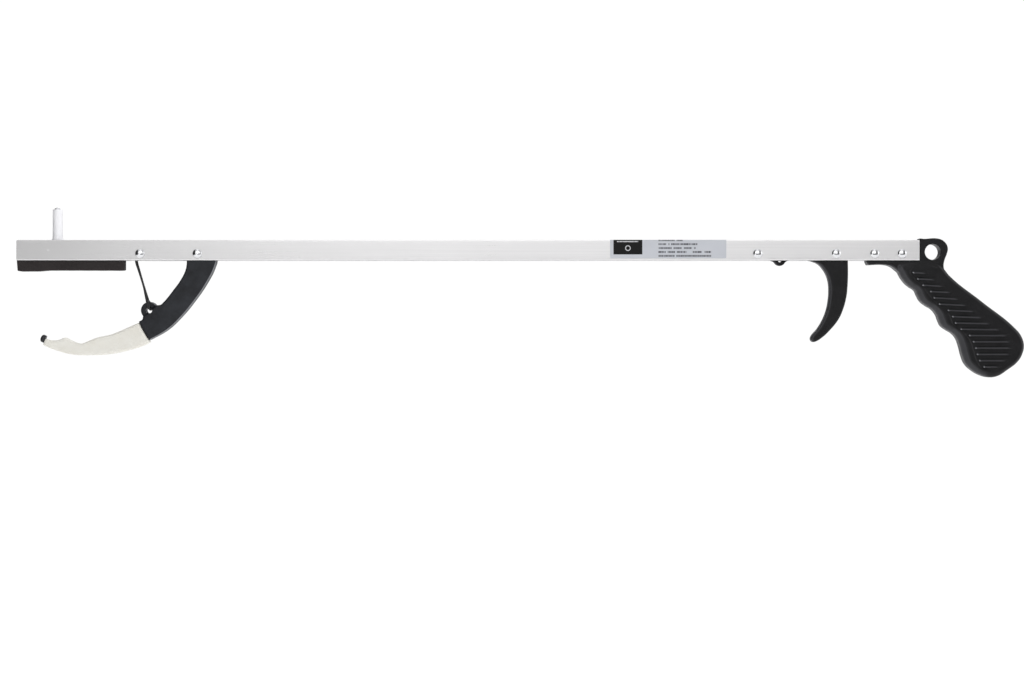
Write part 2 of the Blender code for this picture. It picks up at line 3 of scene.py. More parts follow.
import bmesh
import bpy
from mathutils import Matrix, Vector


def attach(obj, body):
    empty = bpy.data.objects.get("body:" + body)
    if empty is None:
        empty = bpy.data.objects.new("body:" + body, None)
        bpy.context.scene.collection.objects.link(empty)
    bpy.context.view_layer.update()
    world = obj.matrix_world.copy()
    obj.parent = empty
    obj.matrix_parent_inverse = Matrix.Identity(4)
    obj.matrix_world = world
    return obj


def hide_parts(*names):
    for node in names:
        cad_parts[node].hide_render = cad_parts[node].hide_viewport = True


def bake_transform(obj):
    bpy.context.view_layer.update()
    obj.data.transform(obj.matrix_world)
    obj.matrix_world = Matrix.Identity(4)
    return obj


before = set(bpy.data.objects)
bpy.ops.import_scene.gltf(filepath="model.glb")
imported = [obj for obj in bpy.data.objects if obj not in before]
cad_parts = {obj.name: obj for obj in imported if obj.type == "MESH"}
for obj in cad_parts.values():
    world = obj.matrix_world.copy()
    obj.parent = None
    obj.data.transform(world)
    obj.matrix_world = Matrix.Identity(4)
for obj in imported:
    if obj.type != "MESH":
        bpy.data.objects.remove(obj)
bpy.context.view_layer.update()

# A reacher grabber: an aluminium channel with a pistol grip, a finger trigger and a jaw on a cord.
# Lengths are in millimetres and MM turns them into metres; the camera, lamps and floor are in metres.
# +X runs along the beam towards the grip, +Y crosses it away from the camera, and +Z is up.
MM = 0.001
CORNER = "corner"            # marks an outline point where the edge turns sharply

BEAM_FRONT, BEAM_REAR = -661.5, 67.0
BEAM_HALF, BEAM_HEIGHT, BEAM_CORNER = 7.0, 16.5, 0.22

# Points in the plane of the beam's side are (x, z).
RIVET_LINE = -11.0
FRONT_GUIDE = (-561.7, RIVET_LINE)
JAW_PIVOT = (-515.5, RIVET_LINE)
REAR_GUIDE = (-63.4, RIVET_LINE)
TRIGGER_PIVOT = (0.0, RIVET_LINE)
JAW_EYE = (-554.8, -56.7)
TRIGGER_EYE = (-45.1, -16.3)
JAW_EYE_RADIUS, TRIGGER_EYE_RADIUS = 2.5, 1.6
JAW_EAR_HALF, LUG_ARM_HALF = 4.0, 2.8       # half the thickness of the moulding round each eye
PIVOT_HOLE_RADIUS = 2.4
RIVETS = {
    "rivet_front_guide": FRONT_GUIDE,
    "rivet_jaw_pivot": JAW_PIVOT,
    "rivet_rear_guide": REAR_GUIDE,
    "rivet_trigger_pivot": TRIGGER_PIVOT,
    "rivet_handle_front": (31.0, RIVET_LINE),
    "rivet_handle_rear": (53.1, RIVET_LINE),
}

GRIP_OUTLINE = [
    (50.7, -26.4), (55.4, -34.0), (59.7, -37.9), (63.8, -40.6), (66.0, -45.1), (68.7, -49.6),
    (73.2, -53.2), (77.7, -55.9), (81.3, -60.3), (83.1, -64.8), (85.3, -69.3), (89.4, -72.5),
    (93.9, -75.2), (97.5, -79.2), (99.7, -84.6), (102.4, -94.5), (104.7, -99.9), (110.1, -105.3),
    (117.2, -109.3), (123.5, -110.9), (130.7, -109.8), (137.9, -105.3), (146.9, -98.1),
    (150.9, -90.9), (151.8, -84.6), (149.6, -77.4), (145.1, -71.6), (118.0, -49.8), (91.5, -28.6),
    (86.8, -22.8), (82.0, -18.6), (70.0, -17.9), (55.0, -18.2), (49.0, -20.8),
]
NECK_OUTLINE = [
    (24.2, -16.8, CORNER), (25.6, -20.1, CORNER), (40.8, -20.1), (45.3, -21.7), (49.9, -25.3),
    (61.0, -34.0, CORNER), (82.0, -34.0, CORNER), (87.4, -24.8, CORNER), (86.7, -20.8),
    (87.4, -16.3), (89.4, -10.9), (90.1, -6.4), (88.0, -1.9), (83.1, 1.0), (70.6, 1.0), (69.0, 1.2),
    (67.3, 1.45, CORNER), (67.3, -16.8, CORNER),
]
GRIP_THICKNESS, NECK_THICKNESS, TANG_HALF = 18.6, 14.0, 5.5
HANG_HOLE, HANG_HOLE_RADIUS = (77.8, -9.6), 6.4
RIB_COUNT, RIB_PITCH, RIB_FIRST = 16, 5.07, -26.2
RIB_FRONT_GAP, RIB_REAR_GAP = 10.6, 9.0     # from the grip's outline to a rib's ends
LAST_SHORT_RIB = 10.5        # ribs numbered below this, from the top, end sooner and slope a little
GRIP_FACE = 8.6              # from the grip's middle plane to the face that the ribs stand on

TRIGGER_THICKNESS = 10.6
TRIGGER_OUTLINE = [
    (9.3, -10.5), (9.8, -16.5), (9.4, -39.7), (8.4, -47.1), (6.1, -55.5), (2.4, -63.8),
    (-5.0, -73.1), (-11.5, -79.1), (-16.1, -81.9), (-18.6, -82.3), (-20.3, -80.1), (-19.4, -77.2),
    (-15.2, -72.2), (-10.6, -64.8), (-7.3, -56.4), (-5.7, -48.1), (-5.2, -40.7), (-5.7, -34.2),
    (-7.3, -28.6), (-10.6, -23.0), (-14.3, -19.3), (-18.9, -17.3), (-22.6, -16.4, CORNER),
    (-22.6, -10.0, CORNER), (-8.6, -7.6), (-6.4, -4.6), (0.0, -1.9), (6.4, -4.6),
]
LUG_ARM_OUTLINE = [
    (-4.0, -6.0, CORNER), (-4.0, -15.0, CORNER), (-24.0, -16.0), (-37.8, -16.1), (-40.6, -17.3),
    (-42.4, -19.5), (-45.1, -20.4), (-47.9, -19.5), (-49.8, -17.3), (-52.6, -15.9),
    (-53.4, -12.6), (-50.4, -9.6), (-30.0, -8.0),
]

JAW_THICKNESS, TONGUE_THICKNESS, SLEEVE_THICKNESS = 10.4, 5.6, 9.6
JAW_OUTLINE = [
    (-524.6, -11.5), (-524.5, -17.0), (-525.5, -24.0), (-529.8, -32.7), (-536.0, -41.2),
    (-541.6, -48.3), (-545.4, -52.2, CORNER), (-549.6, -52.8, CORNER), (-556.5, -59.5, CORNER),
    (-559.8, -61.8), (-560.2, -64.2, CORNER), (-563.4, -65.9, CORNER), (-554.7, -80.9, CORNER),
    (-540.2, -72.6), (-530.0, -63.2), (-517.6, -48.3), (-508.2, -34.4), (-502.0, -22.0),
    (-500.6, -15.5), (-505.0, -8.6), (-509.2, -4.6), (-515.5, -1.9), (-521.9, -4.6),
]
TONGUE_OUTLINE = [
    (-550.0, -66.0, CORNER), (-562.0, -70.5), (-575.0, -76.4), (-590.0, -81.0), (-604.0, -84.8),
    (-612.0, -86.2), (-624.0, -83.6), (-632.0, -82.9), (-639.5, -81.2, CORNER),
    (-640.5, -83.5, CORNER), (-632.0, -86.3), (-622.0, -88.6), (-605.0, -90.0), (-590.0, -89.2),
    (-573.0, -85.8), (-560.0, -81.0), (-548.0, -73.0, CORNER),
]
SLEEVE_OUTLINE = [
    (-563.3, -66.6, CORNER), (-554.1, -82.5, CORNER), (-561.0, -85.7), (-572.9, -89.4),
    (-587.7, -92.4), (-601.9, -93.1), (-617.3, -92.5), (-629.1, -89.5), (-635.1, -87.4),
    (-641.0, -84.6, CORNER), (-638.9, -79.6, CORNER), (-635.1, -80.8), (-630.9, -80.9),
    (-626.8, -80.2), (-623.2, -78.6), (-619.9, -80.3), (-613.7, -82.9), (-610.2, -83.5),
    (-604.3, -81.5), (-596.6, -78.6), (-590.6, -77.3), (-584.7, -75.8), (-578.8, -73.5),
    (-572.9, -70.9),
]
MAGNET_CENTRE, MAGNET_TILT, MAGNET_RADIUS = (-640.2, -79.9), 23.0, 3.2

PEG_X = -629.5
LABEL_FRONT, LABEL_REAR, LABEL_BOTTOM = -182.6, -88.9, -14.8

CORD_RADIUS, CORD_WRAP_RADIUS, STRAND_OFFSET = 0.7, 4.8, 2.2
EYE_CORD_RADIUS = 0.85       # the braid opens out where it bends through an eye
# (distance down a fall, how far each strand stands from the middle plane there)
FRONT_SPREAD = [(0.15, 2.2), (6.0, 1.75), (12.0, 1.3), (18.0, 1.05), (23.0, 0.95), (27.0, 1.3),
                (30.0, 1.9), (33.0, 2.85), (36.0, 3.7)]
REAR_SPREAD = [(0.15, 2.2), (4.0, 2.95), (7.6, 3.7), (11.0, 3.7)]


def shown(name, data):
    obj = bpy.data.objects.new(name, data)
    bpy.context.scene.collection.objects.link(obj)
    return obj


def filled(mesh, work):
    """Put what a bmesh holds into a mesh, and free it."""
    work.to_mesh(mesh)
    work.free()
    return mesh


def unit(value):
    """A number kept between 0 and 1."""
    return min(max(value, 0.0), 1.0)


# Camera, backdrop and lights.

def make_camera():
    """Square on to the beam's side, level, a little below the beam and near the middle of its length."""
    data = bpy.data.cameras.new("camera")
    data.sensor_width = 36.0
    data.lens = 73.8
    camera = shown("camera", data)
    camera.location = (-0.2617, -1.700, -0.0819)
    camera.rotation_euler = (math.pi / 2, 0.0, 0.0)
    bpy.context.scene.camera = camera


class Graph:
    """Short ways to wire nodes. A socket is given a number, a (red, green, blue) or another socket."""

    def __init__(self, owner):
        owner.use_nodes = True
        self.tree = owner.node_tree
        self.tree.nodes.clear()

    def put(self, socket, value):
        if isinstance(value, bpy.types.NodeSocket):
            self.tree.links.new(value, socket)
        elif socket.type == "RGBA":
            socket.default_value = (*value, 1.0)
        else:
            socket.default_value = value

    def add(self, kind, inputs=None, **settings):
        node = self.tree.nodes.new("ShaderNode" + kind)
        for name, value in settings.items():
            setattr(node, name, value)
        for key, value in (inputs or {}).items():
            self.put(node.inputs[key], value)
        return node

    def math(self, operation, *values, clamp=False):
        node = self.add("Math", dict(enumerate(values)), operation=operation, use_clamp=clamp)
        return node.outputs[0]

    def total(self, first, *rest):
        for value in rest:
            first = self.math("ADD", first, value)
        return first

    def product(self, first, *rest):
        for value in rest:
            first = self.math("MULTIPLY", first, value)
        return first

    def step(self, value, low, high):
        """0 below low and 1 above high, smooth between; low may be the larger."""
        node = self.add("MapRange", {"Value": value, "From Min": low, "From Max": high},
                        interpolation_type="SMOOTHSTEP")
        return node.outputs["Result"]

    def band(self, value, low, high, soft):
        """1 between low and high and 0 outside, with soft edges."""
        return self.product(self.step(value, low - soft, low + soft),
                            self.step(value, high + soft, high - soft))

    def mix(self, share, a, b):
        node = self.add("Mix", {0: share, 6: a, 7: b}, data_type="RGBA")
        return node.outputs[2]

    def place(self, stretch=(1.0, 1.0, 1.0)):
        """The piece's own coordinates in millimetres, scaled along each axis."""
        here = self.add("TexCoord").outputs["Object"]
        scale = tuple(s / MM for s in stretch)
        return self.add("Mapping", {"Vector": here, "Scale": scale}).outputs[0]

    def split(self, vector):
        return self.add("SeparateXYZ", {0: vector}).outputs[:3]

    def axes(self):
        """The place on the piece in millimetres, as x, y and z."""
        return self.split(self.place())

    def facing(self):
        """The way the surface faces, as x, y and z."""
        return self.split(self.add("NewGeometry").outputs["Normal"])

    def noise(self, scale, stretch=(1.0, 1.0, 1.0), detail=2.0, roughness=0.5):
        """Noise with about scale features in each millimetre."""
        node = self.add("TexNoise", {"Vector": self.place(stretch), "Scale": scale,
                                     "Detail": detail, "Roughness": roughness})
        return node.outputs["Fac"]

    def spread(self, value, low, high):
        """The middle of a noise's range, stretched to run from low to high."""
        node = self.add("MapRange", {"Value": value, "From Min": 0.3, "From Max": 0.7,
                                     "To Min": low, "To Max": high})
        return node.outputs["Result"]

    def flat_noise(self, vector, scale):
        node = self.add("TexNoise", {"Vector": vector, "Scale": scale, "Detail": 0.0})
        return node.outputs["Fac"]

    def bump(self, height, depth, normal=None):
        """A bump depth millimetres deep."""
        inputs = {"Height": height, "Distance": depth * MM, "Strength": 1.0}
        if normal is not None:
            inputs["Normal"] = normal
        return self.add("Bump", inputs).outputs[0]


LOOKS = {}


def shade(name, colour, rough, build, **constants):
    """Add a look: plain values, then what build(graph) returns as its colour, roughness and normal."""
    LOOKS[name] = bpy.data.materials.new(name + "_look")
    graph = Graph(LOOKS[name])
    shader = graph.add("BsdfPrincipled", {"Base Color": colour, "Roughness": rough})
    for key, value in constants.items():
        shader.inputs[key.replace("_", " ")].default_value = value
    for key, value in zip(("Base Color", "Roughness", "Normal"), build(graph)):
        graph.put(shader.inputs[key], value)
    graph.add("OutputMaterial", {0: shader.outputs[0]})


def make_world():
    """A pale studio: brightest overhead, dim to the left, and dark in a level gap in front."""
    world = bpy.data.worlds.new("studio")
    bpy.context.scene.world = world
    graph = Graph(world)
    x, y, z = graph.split(graph.add("TexCoord").outputs["Generated"])
    path = graph.add("LightPath").outputs
    overhead = graph.total(0.90, graph.product(path["Is Glossy Ray"], -0.45))
    level = graph.total(0.33, graph.product(graph.step(z, 0.35, 0.9), overhead),
                        graph.product(graph.step(z, -0.10, -0.5), 0.30))
    front = graph.step(y, -0.10, -0.50)
    centre = graph.product(graph.band(x, -0.16, 0.13, 0.16), front, 0.30)
    gap = graph.math("SUBTRACT", 1.0, graph.product(graph.band(z, -0.16, 0.02, 0.03), front, 0.85))
    left = graph.math("SUBTRACT", 1.0, graph.product(graph.step(x, -0.40, -0.60),
                                                     graph.step(z, 0.95, 0.85), 0.90))
    right = graph.total(graph.product(graph.step(x, 0.62, 0.85), 0.75),
                        graph.product(graph.band(x, 0.40, 0.58, 0.04), front, -0.22))
    light = graph.product(graph.total(level, centre, right), gap, left)
    grey = graph.add("CombineColor", {0: light, 1: light, 2: graph.product(light, 1.015)}).outputs[0]
    studio = graph.add("Background", {0: grey, 1: 1.0}).outputs[0]
    white = graph.add("Background", {0: (1.0, 1.0, 1.0), 1: 1.02}).outputs[0]
    both = graph.add("MixShader", {0: path["Is Camera Ray"], 1: studio, 2: white}).outputs[0]
    graph.add("OutputWorld", {0: both})


def make_floor():
    """A plain pale floor well below the grabber, seen from above only."""
    half, left, front = 8.0, -1.5, -2.4     # half its width, and its nearest corner
    work = bmesh.new()
    bmesh.ops.create_grid(work, x_segments=4, y_segments=4, size=half)
    bmesh.ops.translate(work, vec=(half + left, half + front, 0.0), verts=work.verts)
    mesh = filled(bpy.data.meshes.new("floor"), work)
    floor = shown("floor", mesh)
    floor.location = (-0.25, 0.0, -0.42)
    material = bpy.data.materials.new("floor_paper")
    graph = Graph(material)
    path = graph.add("LightPath").outputs
    lift = graph.total(0.27, graph.product(path["Is Camera Ray"], 0.13),
                       graph.product(path["Is Glossy Ray"], -0.17))
    paper = graph.add("BsdfPrincipled", {"Base Color": (0.88, 0.88, 0.88), "Roughness": 0.9,
                                         "Emission Color": (1.0, 1.0, 1.0),
                                         "Emission Strength": lift}).outputs[0]
    clear = graph.add("BsdfTransparent").outputs[0]
    below = graph.add("NewGeometry").outputs["Backfacing"]
    graph.add("OutputMaterial", {0: graph.add("MixShader", {0: below, 1: paper, 2: clear}).outputs[0]})
    mesh.materials.append(material)


def make_softbox(name, low, high, y, target, glow):
    """A rectangular lamp in the plane at y, between two (x, z) corners, with a given brightness."""
    width, height = high[0] - low[0], high[1] - low[1]
    data = bpy.data.lights.new(name, "AREA")
    data.shape = "RECTANGLE"
    data.size, data.size_y = width, height
    data.energy = glow * width * height * math.pi
    lamp = shown(name, data)
    lamp.location = ((low[0] + high[0]) / 2, y, (low[1] + high[1]) / 2)
    lamp.rotation_euler = (Vector(target) - lamp.location).to_track_quat("-Z", "Y").to_euler()
    lamp.visible_camera = False


make_camera()
make_world()
make_floor()
make_softbox("key", (-1.25, 0.06), (0.50, 1.05), -1.65, (-0.27, 0.0, 0.50), 1.0)
make_softbox("low_left", (-1.25, -0.38), (-0.62, 0.02), -1.62, (-0.5, 0.0, -0.10), 0.75)
make_softbox("side", (1.25, -0.30), (2.05, 0.90), -1.30, (0.0, 0.0, 0.10), 0.8)
make_softbox("back", (-0.9, 0.6), (0.5, 1.3), 1.5, (-0.25, 0.0, 0.0), 1.2)
bpy.context.scene.view_settings.view_transform = "Standard"


# Materials.

def aluminium(g):
    """Extruded and brushed lengthwise: long fine streaks, broader bands and faint handling marks.

    It is darker towards the front with painted shade, its lips carry a painted highlight, and the near side
    has one small dimple whose paler colour is a painted highlight.
    """
    streaks = g.noise(2.4, (0.005, 1.0, 1.0), detail=2.0, roughness=0.6)
    bands = g.noise(0.7, (0.006, 1.0, 1.0), detail=1.0)
    cloud = g.noise(0.03, (0.4, 1.0, 1.0), detail=3.0)
    scratch = g.step(g.noise(1.6, (0.06, 1.0, 1.0), detail=4.0, roughness=0.75), 0.72, 0.80)
    tone = g.total(g.spread(streaks, -0.035, 0.035), g.spread(bands, -0.025, 0.025),
                   g.spread(cloud, -0.02, 0.02), g.product(scratch, -0.05))
    colour = g.mix(g.math("ADD", 0.5, g.product(tone, 3.0), clamp=True),
                   (0.765, 0.760, 0.762), (0.955, 0.948, 0.948))
    x, y, z = g.axes()
    # Painted shade: the colour darkens towards the beam's front end.
    painted_front_shade = g.step(x, -300.0, -720.0)
    colour = g.mix(g.product(painted_front_shade, 0.88), colour, (0.503, 0.500, 0.500))
    # Painted highlight: the lips at the bottom of the sides are made paler.
    lip_painted_highlight = g.step(z, -15.2, -15.8)
    colour = g.mix(g.product(lip_painted_highlight, 0.6), colour, (0.97, 0.965, 0.965))
    # A small dimple on the near side: its bump is real, and its paler colour is a painted highlight.
    dimple_and_painted_highlight = g.product(g.band(x, -636.9, -635.1, 0.7), g.band(z, -9.0, -7.8, 0.7), g.step(y, 0.0, -6.0))
    colour = g.mix(g.product(dimple_and_painted_highlight, 0.3), colour, (0.95, 0.95, 0.96))
    rough = g.total(0.33, g.spread(streaks, -0.05, 0.06), g.spread(cloud, -0.03, 0.03))
    normal = g.bump(dimple_and_painted_highlight, 0.05, g.bump(g.total(streaks, g.product(bands, 0.5)), 0.005))
    return colour, rough, normal


def bright_steel(g):
    """Nickel-bright with a hint of orange peel and fine rubbing."""
    fine = g.noise(1.1, detail=2.0)
    rub = g.noise(3.0, (1.0, 1.0, 0.15), detail=3.0)
    colour = g.mix(g.spread(fine, 0.0, 1.0), (0.80, 0.81, 0.83), (0.92, 0.92, 0.93))
    rough = g.total(0.09, g.spread(rub, -0.03, 0.05))
    return colour, rough, g.bump(fine, 0.006)


def spring_steel(g):
    """Plain drawn wire."""
    drawn = g.noise(4.0, detail=2.0)
    return (0.42, 0.42, 0.44), g.total(0.26, g.spread(drawn, -0.05, 0.08)), g.bump(drawn, 0.01)


def black_plastic(g):
    """Glass-filled moulded nylon: a spark-eroded grain and cloudy gloss.

    Random rubbed patches are paler wear. Surfaces facing the front and the rear and the rib tops are lighter
    with painted light, and the ribs' front ends carry a painted highlight.
    """
    grain = g.noise(3.2, detail=3.0, roughness=0.6)
    cloud = g.noise(0.11, detail=4.0, roughness=0.6)
    rub = g.step(g.noise(0.45, detail=5.0, roughness=0.72), 0.56, 0.74)
    colour = g.mix(g.spread(cloud, 0.0, 1.0), (0.0040, 0.0040, 0.0045), (0.0085, 0.0085, 0.0095))
    colour = g.mix(g.product(rub, 0.4), colour, (0.018, 0.018, 0.020))
    y, z = g.axes()[1:]
    height = g.math("ABSOLUTE", y)
    # Painted highlight: the rib tops are made paler; they are also a little glossier.
    rib_tops_painted_highlight = g.step(height, 9.25, 9.85)
    colour = g.mix(g.product(rib_tops_painted_highlight, 0.8), colour, (0.052, 0.052, 0.057))
    facing = g.facing()[0]
    # Painted light: the surfaces that face the front, below the beam, are made lighter.
    front = g.product(g.step(facing, -0.01, -0.38), g.step(z, -16.0, -20.0))
    colour = g.mix(g.product(front, 0.80), colour, (0.056, 0.056, 0.061))
    # Painted light: the surfaces that face the rear are made lighter.
    rear = g.step(facing, 0.10, 0.70)
    colour = g.mix(g.product(rear, 0.5), colour, (0.030, 0.029, 0.031))
    # Painted highlight: the front ends of the ribs are made much paler.
    nose = g.product(g.step(facing, -0.06, -0.35), g.step(height, 9.32, 9.42))
    colour = g.mix(nose, colour, (0.30, 0.30, 0.32))
    rough = g.total(0.38, g.spread(cloud, -0.05, 0.05), g.spread(grain, -0.03, 0.05),
                    g.product(rib_tops_painted_highlight, -0.06))
    return colour, rough, g.bump(grain, 0.05)


def jaw_plastic(g):
    """The same moulding in a bluer black, with soft mottling and a grey painted highlight along the rounding
    of its outer edge.
    """
    grain = g.noise(2.6, detail=3.0, roughness=0.6)
    cloud = g.noise(0.06, detail=5.0, roughness=0.62)
    colour = g.mix(g.spread(cloud, 0.0, 1.0), (0.0035, 0.0042, 0.0062), (0.0220, 0.0245, 0.0300))
    x, y = g.facing()[:2]
    # Painted highlight along the rounding of the outer edge.
    painted_edge_highlight = g.product(g.step(x, 0.12, 0.40), g.band(g.math("ABSOLUTE", y), 0.12, 0.84, 0.05))
    colour = g.mix(g.product(painted_edge_highlight, 0.75), colour, (0.26, 0.265, 0.28))
    rough = g.total(0.40, g.spread(cloud, -0.06, 0.06), g.spread(grain, -0.03, 0.04))
    return colour, rough, g.bump(grain, 0.05)


def cream_rubber(g):
    """Soft dipped rubber: fine pores over a slow swell, slight yellowing and a few specks of dirt."""
    pores = g.noise(2.5, detail=2.0)
    swell = g.noise(0.25, detail=2.0)
    cloud = g.noise(0.09, detail=4.0, roughness=0.6)
    specks = g.step(g.noise(1.9, detail=3.0), 0.74, 0.80)
    colour = g.mix(g.spread(cloud, 0.0, 1.0), (0.822, 0.800, 0.724), (0.860, 0.848, 0.786))
    colour = g.mix(g.product(specks, 0.2), colour, (0.52, 0.49, 0.41))
    rough = g.total(0.58, g.spread(cloud, -0.06, 0.06))
    return colour, rough, g.bump(g.total(pores, g.product(swell, 2.0)), 0.006)


def dark_rubber(g):
    """Skinned foam rubber: open fine grain with small pits, brown-black, with paler chafed stretches."""
    grain = g.noise(1.7, detail=4.0, roughness=0.65)
    cloud = g.noise(0.06, (1.0, 1.0, 2.0), detail=3.0)
    pits = g.step(g.noise(2.4, detail=2.0), 0.42, 0.34)
    colour = g.mix(g.spread(grain, 0.0, 1.0), (0.016, 0.0135, 0.0135), (0.040, 0.034, 0.034))
    colour = g.mix(g.spread(cloud, 0.0, 0.35), colour, (0.050, 0.044, 0.043))
    height = g.math("SUBTRACT", grain, g.product(pits, 0.6))
    rough = g.total(0.80, g.spread(grain, -0.08, 0.08))
    return colour, rough, g.bump(height, 0.12)


def magnet_black(g):
    """Hard ferrite, cloudy and chipped a little paler."""
    chips = g.step(g.noise(1.3, detail=4.0), 0.62, 0.72)
    cloud = g.noise(0.5, detail=3.0)
    colour = g.mix(g.product(chips, 0.6), (0.009, 0.0095, 0.012), (0.05, 0.05, 0.052))
    rough = g.total(0.30, g.spread(cloud, -0.07, 0.10))
    return colour, rough, g.bump(g.noise(2.2, detail=3.0), 0.03)


def white_vinyl(g):
    """Glossy tubing with faint drawn lines up its length."""
    drawn = g.noise(1.4, (1.0, 1.0, 0.05), detail=2.0)
    scuff = g.step(g.noise(0.8, detail=5.0, roughness=0.7), 0.60, 0.75)
    colour = g.mix(g.product(scuff, 0.4), (0.97, 0.97, 0.99), (0.84, 0.84, 0.85))
    rough = g.total(0.30, g.spread(drawn, -0.04, 0.06))
    return colour, rough, g.bump(drawn, 0.02)


def nylon(g):
    """Natural unfilled nylon, off-white and faintly grained."""
    grain = g.noise(2.5, detail=3.0)
    colour = g.mix(g.spread(grain, 0.0, 1.0), (0.62, 0.61, 0.56), (0.74, 0.73, 0.69))
    return colour, g.total(0.42, g.spread(grain, -0.05, 0.05)), g.bump(grain, 0.03)


def black_cord(g):
    """Braided polyester: the braid is in the mesh, the fibre sheen and lint are here."""
    fibre = g.noise(9.0, detail=2.0)
    dust = g.noise(0.6, detail=3.0)
    colour = g.mix(g.spread(fibre, 0.0, 1.0), (0.008, 0.008, 0.0085), (0.024, 0.024, 0.025))
    colour = g.mix(g.spread(dust, 0.0, 0.18), colour, (0.09, 0.09, 0.09))
    rough = g.total(0.78, g.spread(fibre, -0.08, 0.08))
    return colour, rough, g.bump(fibre, 0.05)


def label_film(g):
    """Silvery film with a dark panel and rows of plain grey dashes, which stand for small print."""
    x, y, z = g.axes()
    near = g.step(y, -6.2, -6.8)
    sheen = g.noise(0.05, (0.5, 1.0, 1.0), detail=2.0)
    film = g.mix(g.spread(sheen, 0.0, 1.0), (0.557, 0.575, 0.616), (0.624, 0.641, 0.682))

    # The panel holds a dashed heading and a plain ring.
    panel = g.product(g.band(x, -179.9, -156.6, 0.08), g.step(z, -11.8, -11.6), near)
    heading = g.product(g.band(x, -177.0, -160.0, 0.2), g.band(z, -1.7, -0.9, 0.15))
    ring_x, ring_z, ring_radius = -168.2, -6.6, 1.9
    away = g.math("SQRT", g.total(g.math("POWER", g.math("ADD", x, -ring_x), 2.0),
                                  g.math("POWER", g.math("ADD", z, -ring_z), 2.0)))
    ring = g.step(g.math("ABSOLUTE", g.math("SUBTRACT", away, ring_radius)), 0.42, 0.26)

    # Five rows of dashes, numbered from the top; the lower ones are longer.
    row_pitch, first_row, left_end, right_end = 3.15, -0.25, -143.8, -101.2
    row = g.math("MULTIPLY", g.math("ADD", z, -first_row), -1.0 / row_pitch)
    number = g.math("ROUND", row)
    centred = g.math("ABSOLUTE", g.math("SUBTRACT", row, number))
    end = g.total(-124.0, g.product(number, 7.6), g.product(g.math("SINE", g.product(number, 2.2)), 5.0))
    end = g.math("MINIMUM", end, right_end)
    span = g.product(g.step(x, left_end, left_end + 0.3), g.step(x, g.math("ADD", end, 0.2), end))
    line = g.add("CombineXYZ", {0: x, 1: g.product(number, 9.0)}).outputs[0]
    words = g.step(g.flat_noise(line, 0.42), 0.34, 0.40)
    strokes = g.spread(g.flat_noise(line, 1.5), 0.45, 1.0)
    dashes = g.product(g.step(centred, 0.27, 0.20), span, words, strokes, near, g.step(number, 4.6, 4.4))

    colour = g.mix(g.product(dashes, 0.92), film, (0.030, 0.033, 0.040))
    colour = g.mix(panel, colour, (0.0055, 0.0055, 0.0055))
    colour = g.mix(g.product(g.total(g.product(heading, words), ring), panel), colour, (0.62, 0.63, 0.65))
    rough = g.total(0.42, g.spread(sheen, -0.04, 0.04), g.product(panel, -0.08))
    creases = g.noise(0.35, (0.3, 1.0, 1.0), detail=3.0)
    return colour, rough, g.bump(creases, 0.03)


shade("aluminium", (0.84, 0.84, 0.845), 0.33, aluminium, Metallic=1.0)
shade("bright_steel", (0.88, 0.88, 0.90), 0.10, bright_steel, Metallic=1.0)
shade("spring_steel", (0.42, 0.42, 0.44), 0.28, spring_steel, Metallic=1.0)
shade("black_plastic", (0.010, 0.010, 0.011), 0.42, black_plastic, Specular_IOR_Level=0.25)
shade("jaw_plastic", (0.015, 0.016, 0.020), 0.42, jaw_plastic, Specular_IOR_Level=0.30)
shade("cream_rubber", (0.78, 0.77, 0.70), 0.60, cream_rubber, Specular_IOR_Level=0.35)
shade("dark_rubber", (0.028, 0.024, 0.024), 0.80, dark_rubber, Specular_IOR_Level=0.20)
shade("magnet_black", (0.012, 0.012, 0.014), 0.32, magnet_black)
shade("white_vinyl", (0.85, 0.85, 0.86), 0.30, white_vinyl)
shade("nylon", (0.70, 0.69, 0.65), 0.45, nylon)
shade("black_cord", (0.015, 0.015, 0.015), 0.80, black_cord, Specular_IOR_Level=0.25, Sheen_Weight=0.15)
shade("label_film", (0.60, 0.62, 0.66), 0.42, label_film, Specular_IOR_Level=0.20)


# Building blocks. Each one makes a mesh in metres, in place.

def baked(obj):
    """The final mesh of an object, which is removed."""
    bpy.context.view_layer.update()
    final = obj.evaluated_get(bpy.context.evaluated_depsgraph_get())
    mesh = bpy.data.meshes.new_from_object(final)
    bpy.data.objects.remove(obj, do_unlink=True)
    return mesh


def closed_up(mesh):
    """Weld a mesh's loose caps on and point its faces outwards."""
    work = bmesh.new()
    work.from_mesh(mesh)
    bmesh.ops.remove_doubles(work, verts=work.verts, dist=0.005 * MM)
    bmesh.ops.recalc_face_normals(work, faces=work.faces)
    return filled(mesh, work)


def plate(outline, thickness, rounding=0.0, grow=0.0):
    """A closed outline filled, with a thickness across Y and rounded edges, and grown by a margin."""
    curve = bpy.data.curves.new("plate", "CURVE")
    curve.dimensions = "2D"
    curve.fill_mode = "BOTH"
    curve.resolution_u = 8
    curve.extrude = (thickness / 2 - rounding) * MM
    curve.bevel_depth = rounding * MM
    curve.bevel_resolution = 4
    curve.offset = (grow - rounding) * MM
    spline = curve.splines.new("BEZIER")
    spline.bezier_points.add(len(outline) - 1)
    for knot, point in zip(spline.bezier_points, outline):
        knot.co = (point[0] * MM, point[1] * MM, 0.0)
        knot.handle_left_type = knot.handle_right_type = "VECTOR" if CORNER in point else "AUTO"
    spline.use_cyclic_u = True
    mesh = baked(shown("plate", curve))
    mesh.transform(Matrix.Rotation(math.pi / 2, 4, "X"))
    return closed_up(mesh)


def block(low, high):
    """A box between two corners."""
    work = bmesh.new()
    bmesh.ops.create_cube(work, size=1.0)
    size = Vector(high) - Vector(low)
    bmesh.ops.scale(work, vec=size * MM, verts=work.verts)
    bmesh.ops.translate(work, vec=(Vector(low) + size / 2) * MM, verts=work.verts)
    return filled(bpy.data.meshes.new("block"), work)


